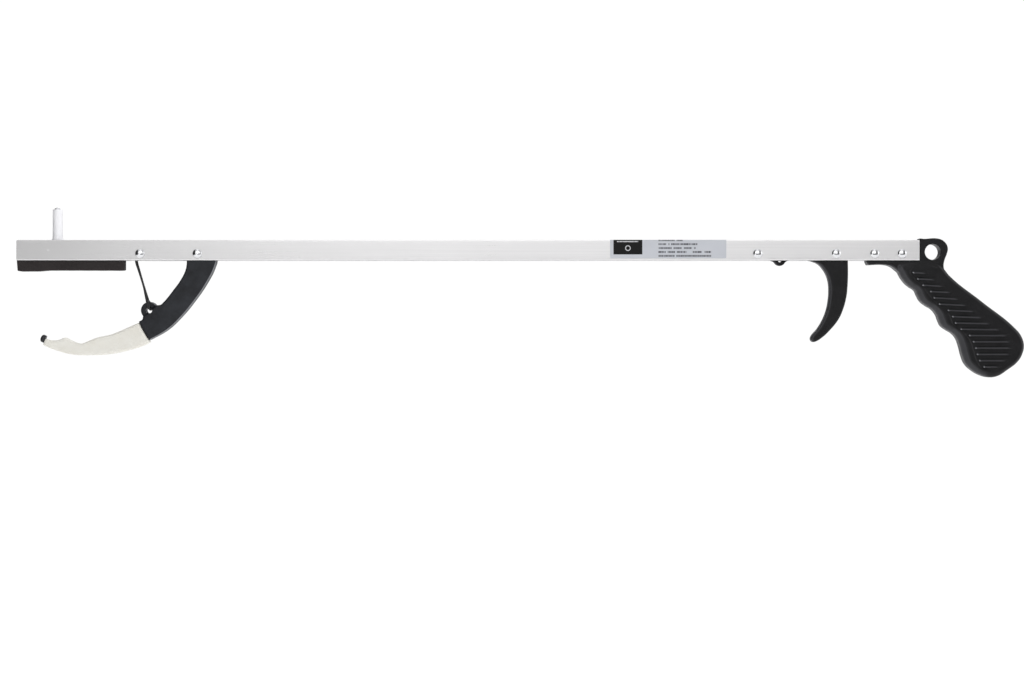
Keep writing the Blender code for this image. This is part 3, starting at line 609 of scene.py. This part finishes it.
def skin(rings, closed=False):
    """A mesh over rings of points in millimetres. A ring of one point is a pole."""
    work = bmesh.new()
    grid = [[work.verts.new(Vector(point) * MM) for point in ring] for ring in rings]
    sides = max(len(ring) for ring in grid)
    for a, b in zip(grid, grid[1:] + ([grid[0]] if closed else [])):
        for k in range(sides):
            n = (k + 1) % sides
            corners = (a[k % len(a)], a[n % len(a)], b[n % len(b)], b[k % len(b)])
            work.faces.new(list(dict.fromkeys(corners)))     # a triangle at a pole
    if not closed:
        for ring in (grid[0], grid[-1]):
            if len(ring) > 1:
                work.faces.new(ring)
    bmesh.ops.triangulate(work, faces=[f for f in work.faces if len(f.verts) > 4])
    bmesh.ops.recalc_face_normals(work, faces=work.faces)
    return filled(bpy.data.meshes.new("skin"), work)


def turned(profile, place, steps=48, closed=False):
    """A profile of (radius, height) turned round Z, then placed by a matrix in millimetres."""
    rings = []
    for radius, height in profile:
        count = steps if radius > 0.001 else 1
        rings.append([place @ Vector((radius * math.cos(math.tau * k / steps),
                                      radius * math.sin(math.tau * k / steps), height))
                      for k in range(count)])
    return skin(rings, closed)


def across(centre):
    """Lays a turned piece's axis along -Y, so that its top faces the camera, at (x, z)."""
    return Matrix.Translation((centre[0], 0.0, centre[1])) @ Matrix.Rotation(math.pi / 2, 4, "X")


def pin_hole(centre, radius, steps=32):
    """A tool that cuts a round hole right across the grabber."""
    return turned([(0.0, 15.0), (radius, 15.0), (radius, -15.0), (0.0, -15.0)], across(centre), steps)


def arc(centre, radius, start, end, count, rise=None):
    """Points (u, v) on a circle's arc, or on an ellipse's with its own rise. Angles are in degrees."""
    points = []
    for k in range(count + 1):
        angle = math.radians(start + (end - start) * k / count)
        points.append((centre[0] + radius * math.cos(angle),
                       centre[1] + (rise or radius) * math.sin(angle)))
    return points


def smooth_path(points, pitch):
    """A Catmull-Rom curve through points, sampled about pitch apart."""
    points = [Vector(point) for point in points]
    ends = [2 * points[0] - points[1]] + points + [2 * points[-1] - points[-2]]
    path = []
    for a, b, c, d in zip(ends, ends[1:], ends[2:], ends[3:]):
        count = max(1, round((c - b).length / pitch))
        for k in range(count):
            t = k / count
            path.append(0.5 * (2 * b + (c - a) * t + (2 * a - 5 * b + 4 * c - d) * t ** 2
                               + (3 * b - a - 3 * c + d) * t ** 3))
    return path + [points[-1]]


def tube(path, radius, sides, braid=0.0, end_radius=None):
    """A round strand along a path, which may widen to end_radius over its last two fifths.

    braid is the depth of its plaits as a share of the radius.
    """
    plaits, lay = 4, 2.6        # how many go each way round, and the length in which they repeat
    side = Vector((0.0, 0.0, 1.0))
    travelled = 0.0
    rings = []
    for k, point in enumerate(path):
        before, after = path[max(k - 1, 0)], path[min(k + 1, len(path) - 1)]
        forward = (after - before).normalized()
        side = (side - forward * side.dot(forward)).normalized()
        other = forward.cross(side)
        travelled += (point - before).length
        twist = math.tau * travelled / lay
        swell = ((end_radius or radius) - radius) * unit(2.5 * k / len(path) - 1.5)
        ring = []
        for n in range(sides):
            angle = math.tau * n / sides
            crown = max(math.cos(plaits * angle + twist), math.cos(plaits * angle - twist))
            reach = (radius + swell) * (1.0 - braid * (0.5 - 0.5 * crown))
            ring.append(point + reach * (math.cos(angle) * side + math.sin(angle) * other))
        rings.append(ring)
    return skin(rings)


def combined(mesh, operation, others, solver="MANIFOLD"):
    """One mesh joined to others, or cut by them."""
    obj = shown("whole", mesh)
    tools = [shown("tool", other) for other in others]
    for tool in tools:
        modifier = obj.modifiers.new("combine", "BOOLEAN")
        modifier.operation = operation
        modifier.object = tool
        modifier.solver = solver
    result = baked(obj)
    for tool in tools:
        bpy.data.objects.remove(tool, do_unlink=True)
    return result


def moulded(base, joined=(), cut=(), loose=(), voxel=0.5, ease=5):
    """Shapes joined, cut and run together with softened edges, as one moulding. voxel is in millimetres."""
    mesh = combined(combined(base, "UNION", joined, "EXACT"), "DIFFERENCE", cut, "EXACT")
    work = bmesh.new()
    work.from_mesh(mesh)
    for extra in loose:
        work.from_mesh(extra)
    obj = shown("moulding", filled(mesh, work))
    remesh = obj.modifiers.new("voxels", "REMESH")
    remesh.mode = "VOXEL"
    remesh.voxel_size = voxel * MM
    soften = obj.modifiers.new("soften", "SMOOTH")
    soften.factor = 0.5
    soften.iterations = ease
    return baked(obj)


def piece(name, mesh, body, look, nodes, sharp=None):
    """A finished piece that rides on a body, if it has one, takes a look and stands for CAD nodes."""
    mesh.name = name
    mesh.materials.clear()
    mesh.materials.append(LOOKS[look])
    mesh.shade_smooth()
    if sharp:
        mesh.set_sharp_from_angle(angle=math.radians(sharp))
    obj = shown(name, mesh)
    if body:
        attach(obj, body)
    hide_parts(*nodes)
    return obj


# The beam and what is fixed to it.

def end_insets(radius, count=5):
    """(distance from a beam's end, inset of its corners) for corners rounded to a radius."""
    return [(radius - u, radius - v) for u, v in arc((0.0, 0.0), radius, 0.0, 90.0, count)]


def beam_stations():
    """(x, inset) along the beam: rounded front corners, plain middle, crisper rear corners."""
    front = [(BEAM_FRONT + d, inset) for d, inset in end_insets(1.1)]
    rear = [(BEAM_REAR - d, inset) for d, inset in end_insets(0.4, 3)]
    middle = [BEAM_FRONT + 1.6, *range(-640, 60, 20), BEAM_REAR - 0.8]
    return front + [(x, 0.0) for x in middle] + rear[::-1]


def build_beam():
    """The channel: rounded top edges, lips eased at the open side, and filled inner corners."""
    wall = -BEAM_HALF
    near = [(-6.35, -16.5), (-6.62, -16.46), (-6.78, -16.34), (-6.84, -16.15), (-6.97, -15.35),
            (wall, -15.1), (wall, -14.9), (wall, -1.3)]
    near += arc((BEAM_CORNER + wall, -BEAM_CORNER), BEAM_CORNER, 180.0, 90.0, 6) + [(-5.6, 0.0)]
    inner = [(5.95, -16.42), (5.8, -16.25), (5.8, -2.0)]
    inner += arc((5.2, -1.8), 0.6, 0.0, 90.0, 3) + [(4.9, -1.2)]
    section = near + [(-y, z) for y, z in reversed(near)] + inner
    section += [(-y, z) for y, z in reversed(inner)]
    rings = [[(x, y, min(max(z, inset - BEAM_HEIGHT), -inset)) for y, z in section]
             for x, inset in beam_stations()]
    piece("beam", skin(rings), "frame", "aluminium", ["beam_channel"], sharp=30)


def build_rivets():
    """Domed heads seated on the near side, shanks, and rolled-over tails on the far side."""
    radius, seat, rise = 3.85, 7.32, 1.62
    dome = arc((0.0, seat), radius, 90.0, 0.0, 15, rise)
    skirt = [(radius, 7.2), (3.75, 7.08), (3.5, 7.02), (2.1, 7.0)]
    tail = [(2.1, -7.0), (3.1, -7.02), (3.32, -7.15), (3.3, -7.45), (3.0, -7.8), (2.4, -8.1),
            (1.9, -8.2), (1.45, -8.05), (1.2, -7.4), (1.0, -6.9), (0.0, -6.8)]
    for name, centre in RIVETS.items():
        piece(name + "_head", turned(dome + skirt + tail, across(centre), 64), "frame",
              "bright_steel", [name], sharp=40)


def build_rollers():
    """Flanged nylon rollers with a wide groove, softened lips and a moulded hub ring."""
    side = [(2.4, 5.05), (2.55, 5.2), (3.2, 5.2), (3.3, 5.05), (3.6, 5.05), (3.7, 5.2), (4.9, 5.2),
            (5.12, 5.1), (5.2, 4.9), (5.2, 3.75), (5.1, 3.6), (3.95, 3.2), (3.8, 3.05), (3.8, 1.0)]
    profile = side + [(r, -y) for r, y in reversed(side)]
    for name, body, centre in (("front_guide_roller", "front_roller", FRONT_GUIDE),
                               ("rear_guide_roller", "rear_roller", REAR_GUIDE)):
        piece(name + "_fine", turned(profile, across(centre), closed=True), body, "nylon", [name],
              sharp=40)


def build_pad():
    """A strip of foam rubber pressed up into the channel, cut a little unevenly."""
    front, rear, half, top, shoulder = BEAM_FRONT, -575.2, 5.6, -7.0, -16.0
    lowest, rounding, count = -25.15, 0.7, 90
    pinches = (0.30, 0.08, 0.01, 0.0)       # how far the section draws in at the ends, station by station
    rings = []
    for k in range(count + 1):
        share = k / count
        x = front + (rear - front) * share
        lifted = 0.5 - 0.5 * math.cos(math.pi * unit((share - 0.16) / 0.16))
        bottom = lowest + 0.75 * lifted - 0.2 * max(share - 0.5, 0.0) + 0.03 * math.sin(x * 0.5)
        pinch = pinches[min(k, count - k, 3)]
        slant = 0.65 * max(0.0, 1.0 - share * 30.0)
        side = [(half, shoulder)]
        side += arc((half - rounding, bottom + rounding), rounding, 0.0, -90.0, 4)
        outline = [(-half, top), (half, top)] + side + [(0.0, bottom)]
        outline += [(-y, z) for y, z in reversed(side)]
        rings.append([(x + slant * max(0.0, (shoulder - z) / 8.5), y * (1 - 0.4 * pinch / half),
                       max(z, bottom + 1.6 * pinch)) for y, z in outline])
    piece("fixed_pad", skin(rings), "frame", "dark_rubber", ["fixed_jaw_pad"], sharp=50)


def build_peg():
    """An upright pin through the beam's roof, clinched below, in a sleeve that flares at its foot."""
    place = Matrix.Translation((PEG_X, 0.0, 0.0))
    pin = [(0.0, 26.5), (0.9, 26.42), (1.7, 26.15), (2.3, 25.7), (2.75, 25.1), (3.0, 24.4),
           (3.1, 23.6), (3.1, 0.3), (2.4, 0.0), (2.4, -1.2), (3.6, -1.25), (3.7, -1.5), (3.4, -2.3),
           (2.4, -2.9), (0.0, -3.0)]
    piece("peg_pin", turned(pin, place), "frame", "bright_steel", ["hook_peg_pin"], sharp=40)
    sleeve = [(3.2, 24.5), (3.32, 24.8), (3.6, 24.92), (3.86, 24.8), (3.98, 24.5), (4.0, 24.0),
              (4.0, 12.0), (4.02, 6.0), (4.06, 3.0), (4.2, 1.6), (4.5, 0.8), (4.78, 0.4), (4.8, 0.12),
              (4.7, 0.02), (3.2, 0.02)]
    piece("peg_sleeve", turned(sleeve, place, closed=True), "frame", "white_vinyl",
          ["hook_peg_sleeve"], sharp=50)


def build_label():
    """A sticker down the near side and over the top edge, with rounded lower corners."""
    under, over, top_edge = 0.06, 0.16, 4.0     # its two faces above the beam, and how far it reaches over
    corner = (BEAM_CORNER - BEAM_HALF, -BEAM_CORNER)
    outside = [(-BEAM_HALF - over, LABEL_BOTTOM + 0.02), (-BEAM_HALF - over, -1.3)]
    outside += arc(corner, BEAM_CORNER + over, 180.0, 90.0, 6)
    outside += [(top_edge - 0.06, over), (top_edge, over - 0.05)]
    inside = [(top_edge, under)] + arc(corner, BEAM_CORNER + under, 90.0, 180.0, 6)
    section = outside + inside + [(-BEAM_HALF - under, -1.3), (-BEAM_HALF - under, LABEL_BOTTOM)]
    rounded = end_insets(1.2)
    stations = [(LABEL_FRONT + d, inset) for d, inset in rounded]
    stations += [(x, 0.0) for x in range(-180, -92, 8)]
    stations += [(LABEL_REAR - d, inset) for d, inset in reversed(rounded)]
    rings = [[(x, y, max(z, LABEL_BOTTOM + inset)) for y, z in section] for x, inset in stations]
    piece("sticker", skin(rings), "frame", "label_film", ["info_label"], sharp=40)


def edge_span(level):
    """Where a level line enters and leaves the grip's outline."""
    ends = []
    for a, b in zip(GRIP_OUTLINE, GRIP_OUTLINE[1:] + GRIP_OUTLINE[:1]):
        if (a[1] - level) * (b[1] - level) < 0:
            ends.append(a[0] + (b[0] - a[0]) * (level - a[1]) / (b[1] - a[1]))
    return min(ends), max(ends)


def panel_outline():
    """The sunken panel in the grip's faces: set in from the front and rear edges."""
    top, pitch, front_inset, rear_inset = -24.5, 7.2, 9.0, 2.2
    levels = [top - pitch * k for k in range(12)]
    front = [(edge_span(level)[0] + front_inset, level) for level in levels]
    rear = [(edge_span(level)[1] - rear_inset, level) for level in levels]
    return front + rear[::-1]


def rib(number, side):
    """A raised bar: round at the front end, sloping above, steep below, and running out at the rear."""
    level = RIB_FIRST - number * RIB_PITCH
    front, rear = edge_span(level)
    above = LAST_SHORT_RIB - number
    shorter, slope = 4.6 * unit(above / 2.5), 0.06 * unit(above / 6.0)
    start, end = front + RIB_FRONT_GAP, rear - RIB_REAR_GAP - shorter
    if number == 0:
        start, end = start - 0.6, end - 1.5
    length = end - start
    nose_length, tail_length = 1.8, 5.5
    section = [(1.5, -0.25), (1.3, 0.05), (0.7, 0.65), (0.1, 1.15), (-0.3, 1.35), (-0.65, 1.25),
               (-0.85, 0.75), (-0.92, 0.0), (-0.95, -0.25)]
    rings = []
    for along in (0.0, 0.2, 0.6, 1.1, nose_length, 2.6, 4.0, 0.5 * length, length - tail_length,
                  length - 3.0, length - 1.2, length - 0.3, length):
        nose = math.sqrt(max(0.02, 1.0 - (1.0 - min(along / nose_length, 1.0)) ** 2))
        tail = min(1.0, 0.12 + (length - along) / tail_length)
        rings.append([(start + along, side * (GRIP_FACE + y * nose * tail),
                       level - slope * along + z * nose) for z, y in section])
    return skin(rings)


def build_grip():
    """The pistol grip: wide soft edges, ribbed faces, a neck with a hang hole and a tang in the beam."""
    tang = block((24.6, -TANG_HALF, -17.5), (70.0, TANG_HALF, -1.5))
    joined = [plate(NECK_OUTLINE, NECK_THICKNESS, rounding=1.2), tang]
    holes = [pin_hole(HANG_HOLE, HANG_HOLE_RADIUS, 64)]
    ribs = [rib(number, side) for number in range(RIB_COUNT) for side in (-1, 1)]
    panel = plate(panel_outline(), 2.0, rounding=0.3)
    for side in (-1, 1):
        sunk = panel.copy()
        sunk.transform(Matrix.Translation((0.0, side * (GRIP_FACE + 1.0) * MM, 0.0)))
        holes.append(sunk)
    body = moulded(plate(GRIP_OUTLINE, GRIP_THICKNESS, rounding=5.4), joined, holes, ease=3)
    mesh = combined(body, "UNION", ribs)
    piece("grip", mesh, "frame", "black_plastic", ["grip_handle"], sharp=35)


# The moving mouldings.

def build_trigger():
    """The finger lever, with a forward arm whose lug holds the cord's rear end."""
    arm = plate(LUG_ARM_OUTLINE, 2 * LUG_ARM_HALF, rounding=0.8, grow=0.35)
    holes = [pin_hole(TRIGGER_PIVOT, PIVOT_HOLE_RADIUS), pin_hole(TRIGGER_EYE, TRIGGER_EYE_RADIUS)]
    mesh = moulded(plate(TRIGGER_OUTLINE, TRIGGER_THICKNESS, rounding=2.0), [arm], holes)
    piece("trigger_moulding", mesh, "trigger_lever", "black_plastic", ["trigger"])


def boss(centre, inner, outer, foot, top):
    """Raised rings round a hole, one on each face."""
    return [turned([(inner, side * foot), (inner + 0.2, side * top), (outer - 0.2, side * top),
                    (outer, side * foot)], across(centre), closed=True) for side in (-1, 1)]


def build_jaw():
    """The curved arm: cheeks round the rivet, an eye for the cord and a tongue under the sleeve."""
    x, half_gap = JAW_PIVOT[0], 3.4
    ear = [(0.0, JAW_EAR_HALF), (6.2, JAW_EAR_HALF), (6.65, 3.85), (6.9, 3.4)]
    ear += [(r, -y) for r, y in reversed(ear)]
    joined = [turned(ear, across(JAW_EYE)), plate(TONGUE_OUTLINE, TONGUE_THICKNESS)]
    gap = block((x - 18.0, -half_gap, -16.0), (x + 18.0, half_gap, 5.0))
    cut = [gap, pin_hole(JAW_PIVOT, PIVOT_HOLE_RADIUS), pin_hole(JAW_EYE, JAW_EYE_RADIUS)]
    bosses = boss(JAW_PIVOT, 6.1, 7.1, 4.9, 5.5) + boss(JAW_EYE, 5.6, 6.7, 3.7, 4.35)
    mesh = moulded(plate(JAW_OUTLINE, JAW_THICKNESS, rounding=1.3), joined, cut, bosses, voxel=0.55)
    piece("jaw_arm_moulding", mesh, "jaw", "jaw_plastic", ["jaw_arm"])


def build_jaw_sleeve():
    """The soft sleeve, hollow where the jaw's tongue goes in, with room beyond the tongue's tip."""
    pocket_end = [(-642.5, -80.3, CORNER), (-643.5, -82.4, CORNER)]
    pocket = plate(TONGUE_OUTLINE[:8] + pocket_end + TONGUE_OUTLINE[10:], thickness=6.2, grow=0.3)
    mesh = moulded(plate(SLEEVE_OUTLINE, SLEEVE_THICKNESS, rounding=1.7), cut=[pocket], voxel=0.6, ease=6)
    piece("jaw_sleeve_rubber", mesh, "jaw", "cream_rubber", ["jaw_sleeve"])


def build_magnet():
    """A domed magnet set in the sleeve's tip."""
    place = Matrix.Translation((MAGNET_CENTRE[0], 0.0, MAGNET_CENTRE[1]))
    place = place @ Matrix.Rotation(math.radians(MAGNET_TILT - 90.0), 4, "Y")
    shoulder, rise = 1.3, 1.9
    profile = arc((0.0, shoulder), MAGNET_RADIUS, 90.0, 0.0, 10, rise)
    profile += [(MAGNET_RADIUS, -0.5), (MAGNET_RADIUS - 0.15, -0.8), (0.0, -0.8)]
    piece("magnet_dome", turned(profile, place, 40), "jaw", "magnet_black", ["jaw_magnet"], sharp=50)


def build_spring():
    """A torsion spring round the jaw's rivet. One leg lies up by the beam's roof, the other reaches down by
    the jaw.
    """
    x, z = JAW_PIVOT
    radius, width, wire = 3.0, 1.7, 0.4
    first_angle, sweep, steps = 100.0, 770.0, 51
    circle = arc((x, z), radius, first_angle, first_angle - sweep, steps)
    coil = [(u, width * (k / steps - 0.5), v) for k, (u, v) in enumerate(circle)]
    route = [(x - 13.0, -width / 2, -1.9), (x - 10.0, -width / 2, -3.2), *coil,
             (x + 11.0, width / 2, -15.3)]
    mesh = tube(smooth_path(route, 0.5), wire, 10)
    spring = piece("return_spring", mesh, None, "spring_steel", ["jaw_return_spring"])
    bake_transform(spring)


# The cord: one braided loop, so two strands run side by side.

class Fall:
    """The straight stretch of cord from a roller to the eye that it pulls."""

    def __init__(self, roller, eye, side):
        dx, dz = eye[0] - roller[0], eye[1] - roller[1]
        distance = math.hypot(dx, dz)
        heading = math.atan2(dz, dx) + side * math.asin(CORD_WRAP_RADIUS / distance)
        self.roller = roller
        self.direction = (math.cos(heading), math.sin(heading))
        self.leave = math.degrees(heading) - side * 90.0
        self.length = math.sqrt(distance ** 2 - CORD_WRAP_RADIUS ** 2)

    def at(self, distance, y, flare=0.0):
        """A point on the fall. flare is how far a slack strand bows out near the channel's mouth."""
        risen, straight = 4.0, 26.0         # where the bow is out, and where it has died away
        angle = math.radians(self.leave)
        rise = min(distance / risen, 1.0)
        bow = flare * rise * rise * (3.0 - 2.0 * rise) * max(0.0, 1.0 - distance / straight)
        reach = CORD_WRAP_RADIUS + bow
        x = self.roller[0] + reach * math.cos(angle) + distance * self.direction[0]
        z = self.roller[1] + reach * math.sin(angle) + distance * self.direction[1]
        return (x, y, z)


def on_roller(fall, start, end, y, count=12):
    """Points round a fall's roller between two angles, at one y."""
    return [(x, y, z) for x, z in arc(fall.roller, CORD_WRAP_RADIUS, start, end, count)]


FRONT_FALL = Fall(FRONT_GUIDE, JAW_EYE, 1)
REAR_FALL = Fall(REAR_GUIDE, TRIGGER_EYE, -1)
FRONT_SWING, REAR_SWING = 19.4, 21.5      # how far each fall turns about its roller, in degrees


def build_run(side, sign):
    """Both halves of a strand's long run, each from its roller to the middle."""
    y = sign * STRAND_OFFSET
    top = CORD_WRAP_RADIUS + FRONT_GUIDE[1]
    middle = ((FRONT_GUIDE[0] + REAR_GUIDE[0]) / 2, y, top)
    leave = FRONT_FALL.leave % 360.0 - FRONT_SWING
    for end, points in (("front", on_roller(FRONT_FALL, leave, 90.0, y)),
                        ("rear", on_roller(REAR_FALL, REAR_FALL.leave, 90.0, y))):
        mesh = tube(smooth_path(points + [middle], 0.65), CORD_RADIUS, 10, braid=0.16)
        strand = piece(f"cord_{end}_run_{side}", mesh, None, "black_cord", [f"cord_run_{side}"])
        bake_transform(strand)


def build_fall(name, fall, spread, swing, side, sign, flare=0.0):
    """A strand from its roller towards an eye."""
    points = on_roller(fall, fall.leave - swing, fall.leave, sign * STRAND_OFFSET, 6)
    points += [fall.at(distance, sign * offset, flare) for distance, offset in spread]
    mesh = tube(smooth_path(points, 0.4), CORD_RADIUS, 16, braid=0.2, end_radius=EYE_CORD_RADIUS)
    strand = piece(f"{name}_strand_{side}", mesh, None, "black_cord", [f"{name}_{side}"])
    start, end = fall.at(spread[0][0], 0.0), fall.at(spread[-1][0], 0.0)
    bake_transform(strand)


def build_eye_loop(name, fall, spread, hole_radius, half_thickness, body, hitch, lean):
    """The end of the cord: down one side of the eye, through its hole and up the other side.

    A second turn, beside the first, hitches it to the eye's rim. Each is drawn as (distance down the
    fall, y) for one side and mirrored for the other.
    """
    bend = EYE_CORD_RADIUS + 0.05
    edge = fall.length - hole_radius        # the hole's nearer edge
    side = half_thickness + bend            # beside the eye's face
    distance, offset = spread[-1]
    half = [(distance - 1.0, offset - (side - offset) / 3.0), (edge - 4.2, side), (edge - 1.5, side)]
    half += arc((edge, half_thickness), bend, 90.0, 0.0, 3) + [(edge + bend, 0.5 * half_thickness)]
    route = [fall.at(*step) for step in half] + [fall.at(d, -y) for d, y in reversed(half)]
    mesh = tube(smooth_path(route, 0.4), EYE_CORD_RADIUS, 16, braid=0.2)
    piece(name + "_braid", mesh, body, "black_cord", [name])

    rim = edge - hitch                      # the rim's outer edge
    turn = [(edge + bend + 1.2, 0.0)]
    turn += arc((edge + 0.5, half_thickness), 1.3, 20.0, 90.0, 2, bend)
    turn += [(edge - 2.0, side), (rim + 1.0, side), (rim - 0.4, half_thickness - 0.4), (rim - 0.9, 0.0)]
    turn += [(d, -y) for d, y in turn[-2:0:-1]]
    aside = Vector((fall.direction[1], 0.0, -fall.direction[0])) * lean
    loop = [Vector(fall.at(*step)) + aside for step in turn]
    mesh = tube(smooth_path(loop[-2:] + loop + loop[:3], 0.4), EYE_CORD_RADIUS, 12, braid=0.2)
    piece(name + "_hitch", mesh, body, "black_cord", [name])


def build_cord():
    for side, sign, slack in (("near", -1, 1.3), ("far", 1, 0.7)):
        build_run(side, sign)
        build_fall("cord_front_fall", FRONT_FALL, FRONT_SPREAD, FRONT_SWING,
                   side, sign, flare=slack)
        build_fall("cord_rear_fall", REAR_FALL, REAR_SPREAD, -REAR_SWING,
                   side, sign)
    build_eye_loop("cord_front_loop", FRONT_FALL, FRONT_SPREAD, JAW_EYE_RADIUS, JAW_EAR_HALF,
                   "front_loop", hitch=4.4, lean=-0.6)
    build_eye_loop("cord_rear_loop", REAR_FALL, REAR_SPREAD, TRIGGER_EYE_RADIUS, LUG_ARM_HALF,
                   "rear_loop", hitch=2.4, lean=-0.5)


build_beam()
build_rivets()
build_rollers()
build_pad()
build_peg()
build_label()
build_grip()
build_trigger()
build_jaw()
build_jaw_sleeve()
build_magnet()
build_spring()
build_cord()
